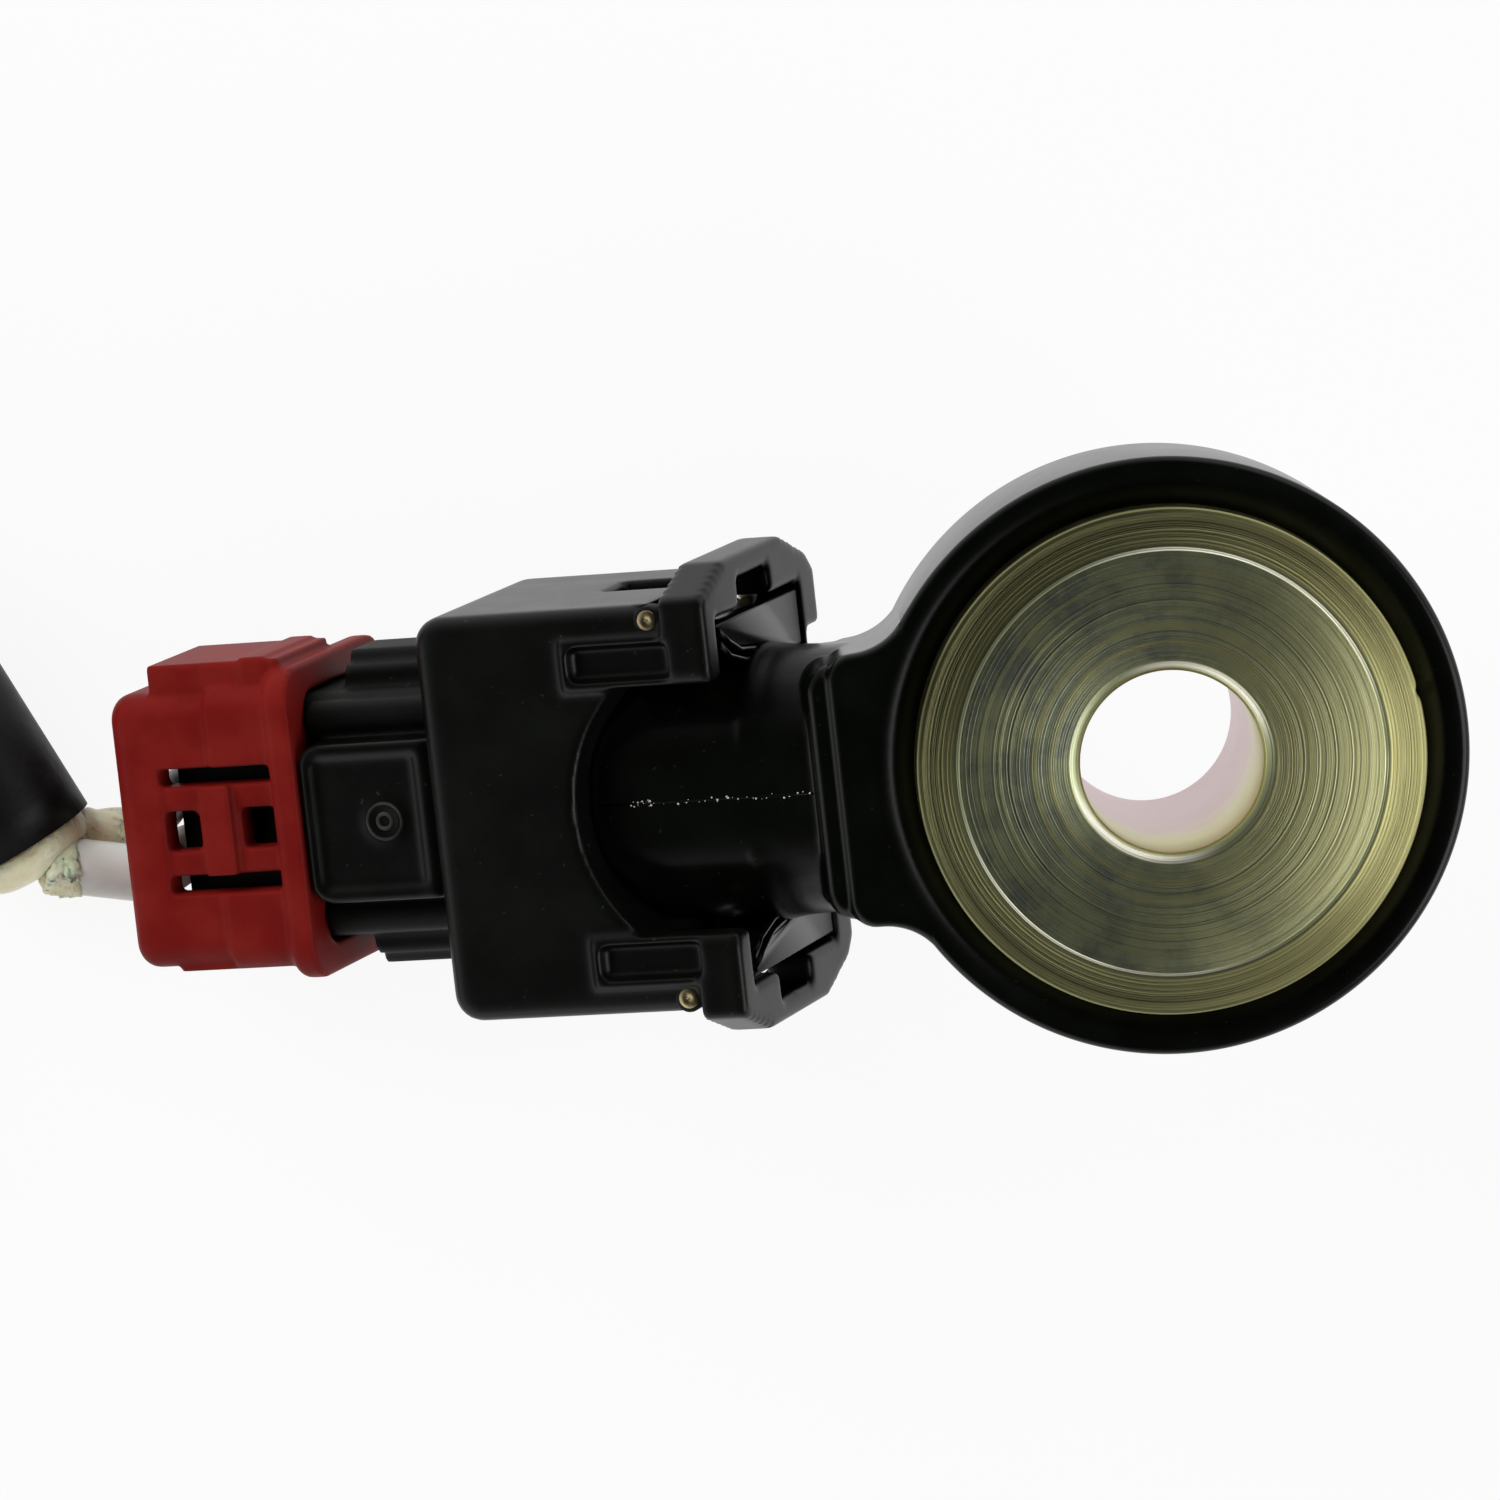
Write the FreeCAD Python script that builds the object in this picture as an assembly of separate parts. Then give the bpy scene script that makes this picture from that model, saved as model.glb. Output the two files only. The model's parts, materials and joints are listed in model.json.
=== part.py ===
import FreeCAD, Part
import math
import os

from FreeCAD import Placement, Rotation, Vector

# Engine knock sensor with its mated two way plug and a short sheathed lead.
# Millimetres. The origin is the middle of the mounting face, on the axis of the bolt bore.
# +Z points out of the mounting face and the plug lies towards -X.

# Round body and the steel sleeve in it
RING_RADIUS = 13.83
RING_BORDER = 2.13
BORE_RADIUS = 4.2
BORE_LENGTH = 18.0
BORE_CHAMFER = 0.5
SLEEVE_RADIUS = 6.3
FLANGE_RADIUS = RING_RADIUS - RING_BORDER
FLANGE_THICKNESS = 3.3
CONTACT_BORDER = 1.85
CONTACT_RADIUS = FLANGE_RADIUS - CONTACT_BORDER
CONTACT_CHAMFER = 0.1
CONTACT_STEP = 0.22
FLANGE_EDGE = 0.25
THREAD_RELIEF = 0.25
GRIP_GROOVES = 2
GRIP_GROOVE_WIDTH = 0.5
GRIP_GROOVE_DEPTH = 0.35
GRIP_GROOVE_FIRST = 0.3
GRIP_GROOVE_PITCH = 0.8

# Sensing stack, listed from the flange to the nut
INSULATOR_THICKNESS = 0.3
ELECTRODE_THICKNESS = 0.25
PIEZO_THICKNESS = 2.2
MASS_THICKNESS = 3.2
SPRING_PLATE = 0.45
SPRING_RISE = 0.4
NUT_THICKNESS = 2.0
STACK_RADIUS = 10.2
STACK_BORE_GAP = 0.35
NUT_RADIUS = 9.0
NUT_NOTCHES = 6
NUT_NOTCH_WIDTH = 1.6
NUT_NOTCH_DEPTH = 0.7
TAB_WIDTH = 1.6
TAB_REACH = 1.5
TAB_ROOT = 1.0

# Moulded sensor body
RING_RECESS = 1.8
RING_WALL = 9.4
RING_DRAFT = 0.34
RING_FRONT_ROUND = 0.4
RING_BACK_ROUND = 1.5
BOSS_RADIUS = 10.3
BOSS_HEIGHT = 1.7
BOSS_ROUND = 0.8
NECK_WIDTH = 12.74
NECK_FILLET = 3.0
NECK_CORNER = 1.2
NECK_FLAT = 0.06
NECK_FOOT = math.sqrt((RING_RADIUS + NECK_FILLET) ** 2 - (NECK_WIDTH / 2 + NECK_FILLET) ** 2)
NECK_REACH = NECK_FOOT + NECK_FLAT + NECK_CORNER
NECK_EDGE_ROUND = 0.45
COLLAR_THICKNESS = 0.96
COLLAR_INSET = 0.45
MOULD_GAP = 0.05

# Connector axis: it leaves the neck at a slope
CONNECTOR_TILT = 21.5
MOUTH_STAND_OFF = 1.7
MOUTH_X = -(NECK_REACH + COLLAR_THICKNESS + MOUTH_STAND_OFF)
MOUTH_Z = -8.3

# Sensor barrel and its guide wings, along the connector axis
BARREL_WIDTH = 12.4
BARREL_HEIGHT = 9.4
BARREL_LIFT = -0.5
BARREL_ROUND = 4.6
BARREL_WALL = 1.2
BARREL_LENGTH = 12.0
BARREL_ROOT = 4.0
BARREL_FLOOR = 0.4
WING_SPREAD = 8.2
WING_TOP = 5.2
WING_BOTTOM = -6.0
WING_START = 0.1
WING_END = 2.1
WING_NECK_SPREAD = 6.9
WING_NECK_TOP = 2.0
WING_ROUND = 0.3
BASE_RIM_STEP = 0.45
BASE_RIM_START = -1.5
BASE_RIM_END = -0.2
BASE_RIM_ROUND = 0.3
NIB_START = 3.5
NIB_LENGTH = 2.6
NIB_FLAT = 0.65
NIB_SPREAD = 9.2
NIB_WIDTH = 2.4
NIB_LIFT = -1.1

# Contacts
PIN_WIDTH = 1.5
PIN_THICKNESS = 0.64
PIN_PITCH = 3.4
PIN_REACH = 7.0
PIN_POINT = 0.7
PIN_TURN = 1.0
PIN_START_GAP = 0.3
PIN_SLOPE = 0.5
RESISTOR_RADIUS = 0.75
RESISTOR_CAP = 0.35
RESISTOR_CAP_STEP = 0.08
RESISTOR_PLACE = 2.0
TERMINAL_WIDTH = 2.3
TERMINAL_HEIGHT = 2.0
TERMINAL_SHEET = 0.25
TERMINAL_START = 2.4
TERMINAL_BOX = 7.0
TERMINAL_BACK = 1.0
CRIMP_RADIUS = 0.85
TERMINAL_GAP = 0.1
PIN_ENTRY_GAP = 0.12

# Plug housing
SKIRT_GAP = 0.25
SKIRT_END_GAP = 0.4
SKIRT_DEPTH = BARREL_LENGTH + SKIRT_END_GAP
PLUG_FLOOR = 2.3
PLUG_LENGTH = SKIRT_DEPTH + PLUG_FLOOR
PLUG_WIDTH = 19.0
PLUG_TOP = 6.6
PLUG_BOTTOM = -6.8
PLUG_CORNER = 1.3
PLUG_EDGE_ROUND = 0.8
GASKET_ROOM = 0.9
TOWER_WIDTH = BARREL_WIDTH - 2 * (BARREL_WALL + GASKET_ROOM)
TOWER_HEIGHT = BARREL_HEIGHT - 2 * (BARREL_WALL + GASKET_ROOM)
TOWER_ROUND = BARREL_ROUND - BARREL_WALL - GASKET_ROOM
TOWER_START = 1.8
NOTCH_RADIUS = 7.8
NOTCH_SHIFT = 0.3
NOTCH_RAIL_GAP = 0.05
EAR_LENGTH = 2.2
EAR_INNER = 6.2
EAR_RISE = 0.55
EAR_TOP = PLUG_TOP + EAR_RISE
EAR_DROP = 1.8
EAR_BOTTOM = PLUG_BOTTOM - EAR_DROP
EAR_STAND_OFF = 1.45
EAR_SPREAD = PLUG_WIDTH / 2 + EAR_STAND_OFF
EAR_SHOULDER_CUT = 1.25
EAR_SHOULDER = EAR_SPREAD - EAR_SHOULDER_CUT
EAR_FRONT_SLOPE = 3.6
EAR_BACK_SLOPE = 4.4
EAR_FOOT_CUT = 2.05
EAR_FOOT = EAR_SPREAD - EAR_FOOT_CUT
EAR_FOOT_RISE = 0.9
EAR_ROUND = 0.35
EAR_SLOT_GAP = 0.3
KEYWAY_WALL = 1.1
KEYWAY_SPREAD = EAR_SPREAD - KEYWAY_WALL
KEYWAY_WIDTH = 4.2
KEYWAY_LIFT = -0.1
SIDE_SLOT_END = 7.3
SIDE_SLOT_WIDTH = 3.0
RAIL_START = 2.0
RAIL_END = 7.3
RAIL_INSET = 1.4
RAIL_OUTER = PLUG_WIDTH / 2 - RAIL_INSET
RAIL_WIDTH = 2.3
RAIL_INNER = RAIL_OUTER - RAIL_WIDTH
NOTCH_HALF_WIDTH = RAIL_INNER - NOTCH_RAIL_GAP
RAIL_HEIGHT = 0.4
RAIL_BORDER = 0.34
RAIL_POCKET = 0.3
PANEL_END_GAP = 0.1
PANEL_WIDTH = 7.5
PANEL_TOP = 5.3
PANEL_BOTTOM = 3.6
PANEL_BORDER = 0.5
PANEL_POCKET = 0.3
PANEL_CORNER = 0.9
PANEL_GROOVE = 0.45
MARK_PLACE = 2.9
MARK_RADIUS = 0.95
MARK_WIDTH = 0.2
MARK_HEIGHT = 0.12

# Rear tower of the plug
REAR_LENGTH = 14.0
REAR_WIDTH = 11.6
REAR_TOP = 3.1
REAR_BOTTOM = -4.3
REAR_ROUND = 1.2
RIDGE_RADIUS = 0.85
RIDGE_OFFSET = 4.7
SHOULDER_LENGTH = 5.6
SHOULDER_SIDE = 1.1
SHOULDER_WIDTH = REAR_WIDTH + 2 * SHOULDER_SIDE
SHOULDER_TOP = 1.4
SHOULDER_LOW = 1.2
SHOULDER_ROUND = 0.4
SHOULDER_BLOCK_START = 2.3
SHOULDER_BLOCK_SPREAD = 0.6
SHOULDER_BLOCK_DROP = 0.9
SEAL_WIDTH = 8.2
SEAL_HEIGHT = 5.4
SEAL_ROUND = 2.5
SEAL_LENGTH = 4.6
SEAL_RIBS = 3
SEAL_RIB_HEIGHT = 0.25
SEAL_END_GAP = 0.3
CAVITY_BORE_GAP = 0.15

# Interface seal round the plug's tower
GASKET_LENGTH = 3.6
GASKET_START = BARREL_LENGTH - GASKET_LENGTH
GASKET_RIBS = 2
GASKET_GAP = 0.08
GASKET_RIB_HEIGHT = 0.3

# Lock spring, a bent wire
SPRING_WIRE = 1.0
SPRING_HOLE = 1.36
SPRING_X = 2.9
SPRING_INSET = 0.7
SPRING_SPREAD = PLUG_WIDTH / 2 - SPRING_INSET
SPRING_BEND = 1.5
SPRING_SINK = 0.15
SPRING_PROUD = 0.45

# Rear holder, the red cap
CAP_GAP = 0.2
CAP_SIDE_WALL = 0.55
CAP_TOP_WALL = 1.6
CAP_LOW_WALL = 0.6
CAP_LENGTH = 9.5
CAP_WIDTH = REAR_WIDTH + 2 * (CAP_GAP + CAP_SIDE_WALL)
CAP_TOP = REAR_TOP + CAP_GAP + CAP_TOP_WALL
CAP_BOTTOM = REAR_BOTTOM - CAP_GAP - CAP_LOW_WALL
RIM_STAND_OFF = 7.0
RIM_START = PLUG_LENGTH + RIM_STAND_OFF
RIM_THICKNESS = 1.4
RIM_SIDE = 0.85
RIM_WIDTH = CAP_WIDTH + 2 * RIM_SIDE
RIM_RISE = 0.6
RIM_TOP = CAP_TOP + RIM_RISE
RIM_DROP = 2.1
RIM_BOTTOM = CAP_BOTTOM - RIM_DROP
RIM_ROUND = 1.8
RIM_EDGE_ROUND = 0.6
CAP_ROUND = 1.3
CAP_END_ROUND = 1.0
CAP_STEP_LENGTH = 4.4
CAP_STEP = 0.22
HOLDER_BLOCK_LENGTH = 7.4
HOLDER_BLOCK_STEP_LENGTH = 2.6
HOLDER_BLOCK_STEP = 0.15
HOLDER_BLOCK_SIDE = 1.3
HOLDER_BLOCK_SPREAD = CAP_WIDTH / 2 + HOLDER_BLOCK_SIDE
HOLDER_KEEL_SIDE = 0.2
HOLDER_KEEL_SPREAD = CAP_WIDTH / 2 + HOLDER_KEEL_SIDE
HOLDER_BLOCK_TOP = 4.3
HOLDER_BLOCK_BOTTOM = -2.2
HOLDER_SLOT_WIDTH = 0.85
HOLDER_SLOT_OFFSET = 2.55
HOLDER_SLOT_REACH = 7.15
HOLDER_WINDOW_WIDTH = 1.9
HOLDER_WINDOW_LENGTH = 1.7
HOLDER_WINDOW_NEAR = 1.5
HOLDER_WINDOW_FAR = 5.35
HOLDER_RIB_REACH = 3.55
HOLDER_RIB_LENGTH = 1.5
HOLDER_RIB_HEIGHT = 0.3
HOLDER_LIP_LENGTH = 1.2
HOLDER_LIP_GAP = 0.25
HOLDER_TONGUE_SINK = 0.15
HOLDER_ROOM_WIDTH = SEAL_WIDTH + 2 * CAP_GAP

# Wires and sheath
SIGNAL_WIRE = 2.7
GROUND_WIRE = 2.0
WIRE_START = 13.2
SHEATH = 7.0
GUM_LENGTH = 1.7
GUM_RADIUS = 3.0
GUM_TIP = 1.6
GUM_SHOULDER = 2.75
GUM_SHOULDER_PLACE = 1.1
SHEATH_STAND_OFF = (-6.47, -0.5, -0.765)
LEAD_LENGTH = 28.5
WIRE_STRAIGHT = 1.4
SIGNAL_OUT = (0.8, 2.8, 0.0)
SIGNAL_ENTRY = (1.0, -1.0, 1.1)
GROUND_OUT = (1.4, 0.8, -2.2)
GROUND_ENTRY = (2.0, -0.1, -1.3)
COIL_RADIUS = 42.0
COIL_PITCH = 8.0
COIL_TURNS = 1.0
TAIL_RADIUS = 22.0
TAIL_TURN = 118.0
LEAD_HEADING = 115.0

# Far plug, which lies inside the coil
FAR_WIRE_LENGTH = 9.0
FAR_LENGTH = 19.0
FAR_WIDTH = 11.4
FAR_HEIGHT = 7.0
FAR_ROUND = 1.2
FAR_PITCH = 4.0
FAR_SEAL_LENGTH = 4.0
FAR_SEAL_ROUND = 1.6
FAR_LATCH_LENGTH = 13.0
FAR_LATCH_WIDTH = 4.2
FAR_LATCH_THICKNESS = 1.0
FAR_LATCH_GAP = 0.9
FAR_TERMINAL_LENGTH = 10.0
FAR_MOUTH = 1.2
FAR_CRIMP_GAP = 1.0
FAR_WIRE_GAP = 0.1
FAR_SPREAD_START = 2.7
FAR_SPREAD_END = 6.75
FAR_FLANGE = 1.4
FAR_FLANGE_STEP = 1.0

TINY = 0.001
PAST = 1.0  # how far a cutting shape runs past the wall that it opens


def box(x0, x1, y0, y1, z0, z1):
    return Part.makeBox(x1 - x0, y1 - y0, z1 - z0, Vector(x0, y0, z0))


def cylinder(radius, start, end):
    span = end - start
    return Part.makeCylinder(radius, span.Length, start, span)


def ring(outer, inner, top, thickness):
    """Flat ring about the bore axis, hanging down from the height top."""
    low = Vector(0, 0, top - thickness)
    body = Part.makeCylinder(outer, thickness, low)
    return body.cut(Part.makeCylinder(inner, thickness, low))


def round_edges(shape, radius, test):
    """Fillet the edges of a solid that pass a test on their middle point and direction."""
    picked = []
    for edge in shape.Edges:
        middle = edge.valueAt((edge.FirstParameter + edge.LastParameter) / 2)
        span = edge.Vertexes[-1].Point - edge.Vertexes[0].Point
        if test(middle, span):
            picked.append(edge)
    return shape.makeFillet(radius, picked)


def rounded_bar(x0, x1, half_width, z0, z1, radius):
    """Bar along X whose section is a rectangle with round corners."""
    limit = min(half_width, (z1 - z0) / 2) - TINY
    corner = min(radius, limit)
    bar = box(x0, x1, -half_width, half_width, z0, z1)
    return round_edges(bar, corner, lambda middle, span: abs(span.x) > TINY)


def strip(points, thickness, width, middle_y):
    """Sheet metal strip that follows a polyline in the XZ plane."""
    sides = ([], [])
    for index, point in enumerate(points):
        before = points[index] - points[index - 1] if index > 0 else None
        after = points[index + 1] - points[index] if index < len(points) - 1 else None
        first = (before or after).normalize()
        last = (after or before).normalize()
        bisector = (first + last).normalize()
        normal = Vector(-bisector.z, 0, bisector.x)
        reach = thickness / 2 / max(normal.dot(Vector(-first.z, 0, first.x)), TINY)
        sides[0].append(point + normal * reach)
        sides[1].append(point - normal * reach)
    outline = sides[0] + sides[1][::-1]
    outline.append(outline[0])
    face = Part.Face(Part.makePolygon(outline))
    solid = face.extrude(Vector(0, width, 0))
    solid.translate(Vector(0, middle_y - width / 2, 0))
    return solid


def route_edges(points, report=""):
    """Straight runs joined by tangent arcs, each as large as its two runs allow."""
    edges = []
    start = points[0]
    radii = []
    for index in range(1, len(points) - 1):
        corner = points[index]
        back = points[index - 1] - corner
        ahead = points[index + 1] - corner
        turn = math.pi - back.getAngle(ahead)
        trim = 0.45 * min(back.Length, ahead.Length)
        radii.append(trim / math.tan(turn / 2))
        back.normalize()
        ahead.normalize()
        enter = corner + back * trim
        leave = corner + ahead * trim
        inward = (back + ahead).normalize()
        depth = trim / math.cos(back.getAngle(inward)) - radii[-1]
        edges.append(Part.LineSegment(start, enter).toShape())
        edges.append(Part.Arc(enter, corner + inward * depth, leave).toShape())
        start = leave
    edges.append(Part.LineSegment(start, points[-1]).toShape())
    if report:
        print(report, "arc radii", [round(radius, 1) for radius in radii])
    return edges


def tube(points, diameter, report=""):
    """Round tube along a route of straight runs and arcs."""
    edges = route_edges(points, report)
    path = Part.Wire(edges)
    heading = points[1] - points[0]
    section = Part.Wire(Part.makeCircle(diameter / 2, points[0], heading))
    solid = path.makePipeShell([section], True, True)
    if report:
        ideal = path.Length * math.pi * diameter ** 2 / 4
        print(report, "length", round(path.Length, 1), "volume ratio", round(solid.Volume / ideal, 4))
    return solid


# Connector frame: x runs away from the sensor, z faces the same way as the mounting face.
CONNECTOR = Placement(Vector(MOUTH_X, 0, MOUTH_Z),
                      Rotation(Vector(0, 1, 0), -CONNECTOR_TILT) * Rotation(Vector(0, 0, 1), 180))


def place(shape):
    """Put a shape that is modelled in the connector frame into the sensor's frame."""
    placed = shape.copy()
    placed.Placement = CONNECTOR.multiply(placed.Placement)
    return placed


def at(x, y, z):
    """Point of the connector frame in the sensor's frame."""
    return CONNECTOR.multVec(Vector(x, y, z))


RING_FRONT = -RING_RECESS
RING_BACK = RING_FRONT - RING_WALL
STACK_TOP = -FLANGE_THICKNESS
STACK_BORE = SLEEVE_RADIUS + STACK_BORE_GAP
LOWER_ELECTRODE_TOP = STACK_TOP - INSULATOR_THICKNESS
PIEZO_TOP = LOWER_ELECTRODE_TOP - ELECTRODE_THICKNESS
UPPER_ELECTRODE_TOP = PIEZO_TOP - PIEZO_THICKNESS
UPPER_INSULATOR_TOP = UPPER_ELECTRODE_TOP - ELECTRODE_THICKNESS
MASS_TOP = UPPER_INSULATOR_TOP - INSULATOR_THICKNESS
SPRING_TOP = MASS_TOP - MASS_THICKNESS
NUT_TOP = SPRING_TOP - SPRING_PLATE - SPRING_RISE
NUT_BOTTOM = NUT_TOP - NUT_THICKNESS
BODY_BACK = RING_BACK - RING_BACK_ROUND
BOSS_BACK = BODY_BACK - BOSS_HEIGHT
BARREL_TOP = BARREL_LIFT + BARREL_HEIGHT / 2
BARREL_BOTTOM = BARREL_LIFT - BARREL_HEIGHT / 2
REAR_END = PLUG_LENGTH + REAR_LENGTH
PANEL_END = RIM_START - PANEL_END_GAP
SEAL_START = REAR_END - SEAL_LENGTH - SEAL_END_GAP
CAP_START = RIM_START + RIM_THICKNESS
CAP_END = RIM_START + CAP_LENGTH
SIDES = {"signal": 1, "ground": -1}


def base_sleeve():
    step = FLANGE_RADIUS - FLANGE_EDGE
    outline = [
        Vector(BORE_RADIUS + BORE_CHAMFER, 0, 0),
        Vector(CONTACT_RADIUS - CONTACT_CHAMFER, 0, 0),
        Vector(CONTACT_RADIUS, 0, -CONTACT_CHAMFER),
        Vector(CONTACT_RADIUS, 0, -CONTACT_STEP),
        Vector(step, 0, -CONTACT_STEP),
        Vector(FLANGE_RADIUS, 0, -CONTACT_STEP - FLANGE_EDGE),
        Vector(FLANGE_RADIUS, 0, -FLANGE_THICKNESS),
        Vector(SLEEVE_RADIUS, 0, -FLANGE_THICKNESS),
        Vector(SLEEVE_RADIUS, 0, SPRING_TOP),
        Vector(SLEEVE_RADIUS - THREAD_RELIEF, 0, SPRING_TOP),
        Vector(SLEEVE_RADIUS - THREAD_RELIEF, 0, NUT_TOP),
        Vector(SLEEVE_RADIUS, 0, NUT_TOP),
        Vector(SLEEVE_RADIUS, 0, -BORE_LENGTH + BORE_CHAMFER / 2),
        Vector(SLEEVE_RADIUS - BORE_CHAMFER / 2, 0, -BORE_LENGTH),
        Vector(BORE_RADIUS + BORE_CHAMFER, 0, -BORE_LENGTH),
        Vector(BORE_RADIUS, 0, -BORE_LENGTH + BORE_CHAMFER),
        Vector(BORE_RADIUS, 0, -BORE_CHAMFER),
    ]
    outline.append(outline[0])
    sleeve = Part.Face(Part.makePolygon(outline)).revolve(Vector(), Vector(0, 0, 1), 360)
    for index in range(GRIP_GROOVES):
        top = NUT_BOTTOM - GRIP_GROOVE_FIRST - GRIP_GROOVE_PITCH * index
        floor = SLEEVE_RADIUS - GRIP_GROOVE_DEPTH
        sleeve = sleeve.cut(ring(SLEEVE_RADIUS + PAST, floor, top, GRIP_GROOVE_WIDTH))
    return sleeve


def electrode(top, side):
    """Contact ring with a tab that its contact pin is welded to."""
    disc = ring(STACK_RADIUS, STACK_BORE, top, ELECTRODE_THICKNESS)
    reach = STACK_RADIUS + TAB_REACH
    middle = -side * PIN_PITCH / 2
    tab = box(-reach, TAB_ROOT - STACK_RADIUS, middle - TAB_WIDTH / 2, middle + TAB_WIDTH / 2,
              top - ELECTRODE_THICKNESS, top)
    return disc.fuse(tab).removeSplitter()


def disc_spring():
    """Conical washer between the mass and the nut."""
    low = SPRING_TOP - SPRING_PLATE - SPRING_RISE
    outline = [
        Vector(NUT_RADIUS, 0, SPRING_TOP),
        Vector(NUT_RADIUS, 0, SPRING_TOP - SPRING_PLATE),
        Vector(STACK_BORE, 0, low),
        Vector(STACK_BORE, 0, low + SPRING_PLATE),
    ]
    outline.append(outline[0])
    return Part.Face(Part.makePolygon(outline)).revolve(Vector(), Vector(0, 0, 1), 360)


def clamp_nut():
    nut = ring(NUT_RADIUS, SLEEVE_RADIUS, NUT_TOP, NUT_THICKNESS)
    for index in range(NUT_NOTCHES):
        notch = box(NUT_RADIUS - NUT_NOTCH_DEPTH, NUT_RADIUS + PAST, -NUT_NOTCH_WIDTH / 2,
                    NUT_NOTCH_WIDTH / 2, NUT_BOTTOM, NUT_TOP)
        notch.rotate(Vector(), Vector(0, 0, 1), 360 / NUT_NOTCHES * index)
        nut = nut.cut(notch)
    return nut


def bend_point():
    """Where the contact pins turn from the neck into the connector axis."""
    return at(-PIN_TURN, 0, BARREL_LIFT)


def contact_pin(electrode_top, side):
    """Blade pin: it starts under its electrode's tab and ends in the barrel."""
    level = electrode_top - ELECTRODE_THICKNESS - PIN_THICKNESS / 2
    turn = bend_point()
    start = STACK_RADIUS + PIN_START_GAP
    tip = at(PIN_REACH, 0, BARREL_LIFT)
    drop = abs(level - turn.z)
    points = [
        Vector(-start, 0, level),
        Vector(-STACK_RADIUS - TAB_REACH, 0, level),
        Vector(-STACK_RADIUS - TAB_REACH - PIN_START_GAP - PIN_SLOPE - drop / 4, 0, turn.z),
        Vector(turn.x, 0, turn.z),
        tip,
    ]
    pin = strip(points, PIN_THICKNESS, PIN_WIDTH, -side * PIN_PITCH / 2)
    nose_x = PIN_REACH - PIN_POINT
    inner = -side * PIN_PITCH / 2
    for hand in (1, -1):
        edge = inner + hand * PIN_WIDTH / 2
        wedge = Part.Face(Part.makePolygon([
            Vector(nose_x, edge, 0), Vector(PIN_REACH + PAST, edge - hand * PIN_WIDTH / 2, 0),
            Vector(PIN_REACH + PAST, edge + hand * PAST, 0), Vector(nose_x, edge, 0)]))
        cutter = wedge.extrude(Vector(0, 0, BARREL_HEIGHT))
        cutter.translate(Vector(0, 0, BARREL_BOTTOM))
        cutter = cutter.mirror(Vector(), Vector(0, 1, 0))
        pin = pin.cut(place(cutter))
    return pin


def shunt_resistor():
    """Bleed resistor bridged between the two contact pins."""
    half = (PIN_PITCH - PIN_WIDTH) / 2
    middle = Vector(bend_point().x + RESISTOR_PLACE, 0, bend_point().z)
    body = cylinder(RESISTOR_RADIUS, middle - Vector(0, half - RESISTOR_CAP, 0),
                    middle + Vector(0, half - RESISTOR_CAP, 0))
    for hand in (1, -1):
        outer = middle + Vector(0, hand * half, 0)
        inner = middle + Vector(0, hand * (half - RESISTOR_CAP), 0)
        body = body.fuse(cylinder(RESISTOR_RADIUS + RESISTOR_CAP_STEP, inner, outer))
    return body


def neck_block():
    """Neck between the round body and the barrel, with a hollow fillet on each side."""
    half = NECK_WIDTH / 2
    lift = half + NECK_FILLET
    touch = RING_RADIUS / (RING_RADIUS + NECK_FILLET)
    root = -SLEEVE_RADIUS - PAST
    edges = []
    for hand in (1, -1):
        centre = Vector(-NECK_FOOT, hand * lift, 0)
        foot = Vector(-NECK_FOOT, hand * half, 0)
        meet = centre * touch
        middle = centre + (foot - centre + meet - centre).normalize() * NECK_FILLET
        corner_in = Vector(-NECK_REACH + NECK_CORNER, hand * half, 0)
        corner_out = Vector(-NECK_REACH, hand * (half - NECK_CORNER), 0)
        corner_mid = Vector(-NECK_REACH + NECK_CORNER * (1 - math.sqrt(0.5)),
                            hand * (half - NECK_CORNER * (1 - math.sqrt(0.5))), 0)
        side = [
            Part.LineSegment(Vector(root, meet.y, 0), meet).toShape(),
            Part.Arc(meet, middle, foot).toShape(),
            Part.LineSegment(foot, corner_in).toShape(),
            Part.Arc(corner_in, corner_mid, corner_out).toShape(),
        ]
        edges += side if hand > 0 else side[::-1]
        if hand > 0:
            across = Vector(corner_out.x, -corner_out.y, 0)
            edges.append(Part.LineSegment(corner_out, across).toShape())
            edges.append(Part.LineSegment(Vector(root, meet.y, 0), Vector(root, -meet.y, 0)).toShape())
    outline = Part.Wire(Part.__sortEdges__(edges))
    block = Part.Face(outline).extrude(Vector(0, 0, RING_WALL))
    block.translate(Vector(0, 0, RING_BACK))
    limit = RING_RADIUS - PAST

    def outside(middle, span):
        level = abs(middle.z - RING_FRONT) < TINY or abs(middle.z - RING_BACK) < TINY
        return level and math.hypot(middle.x, middle.y) > limit and middle.x < root

    return round_edges(block, NECK_EDGE_ROUND, outside)


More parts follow.
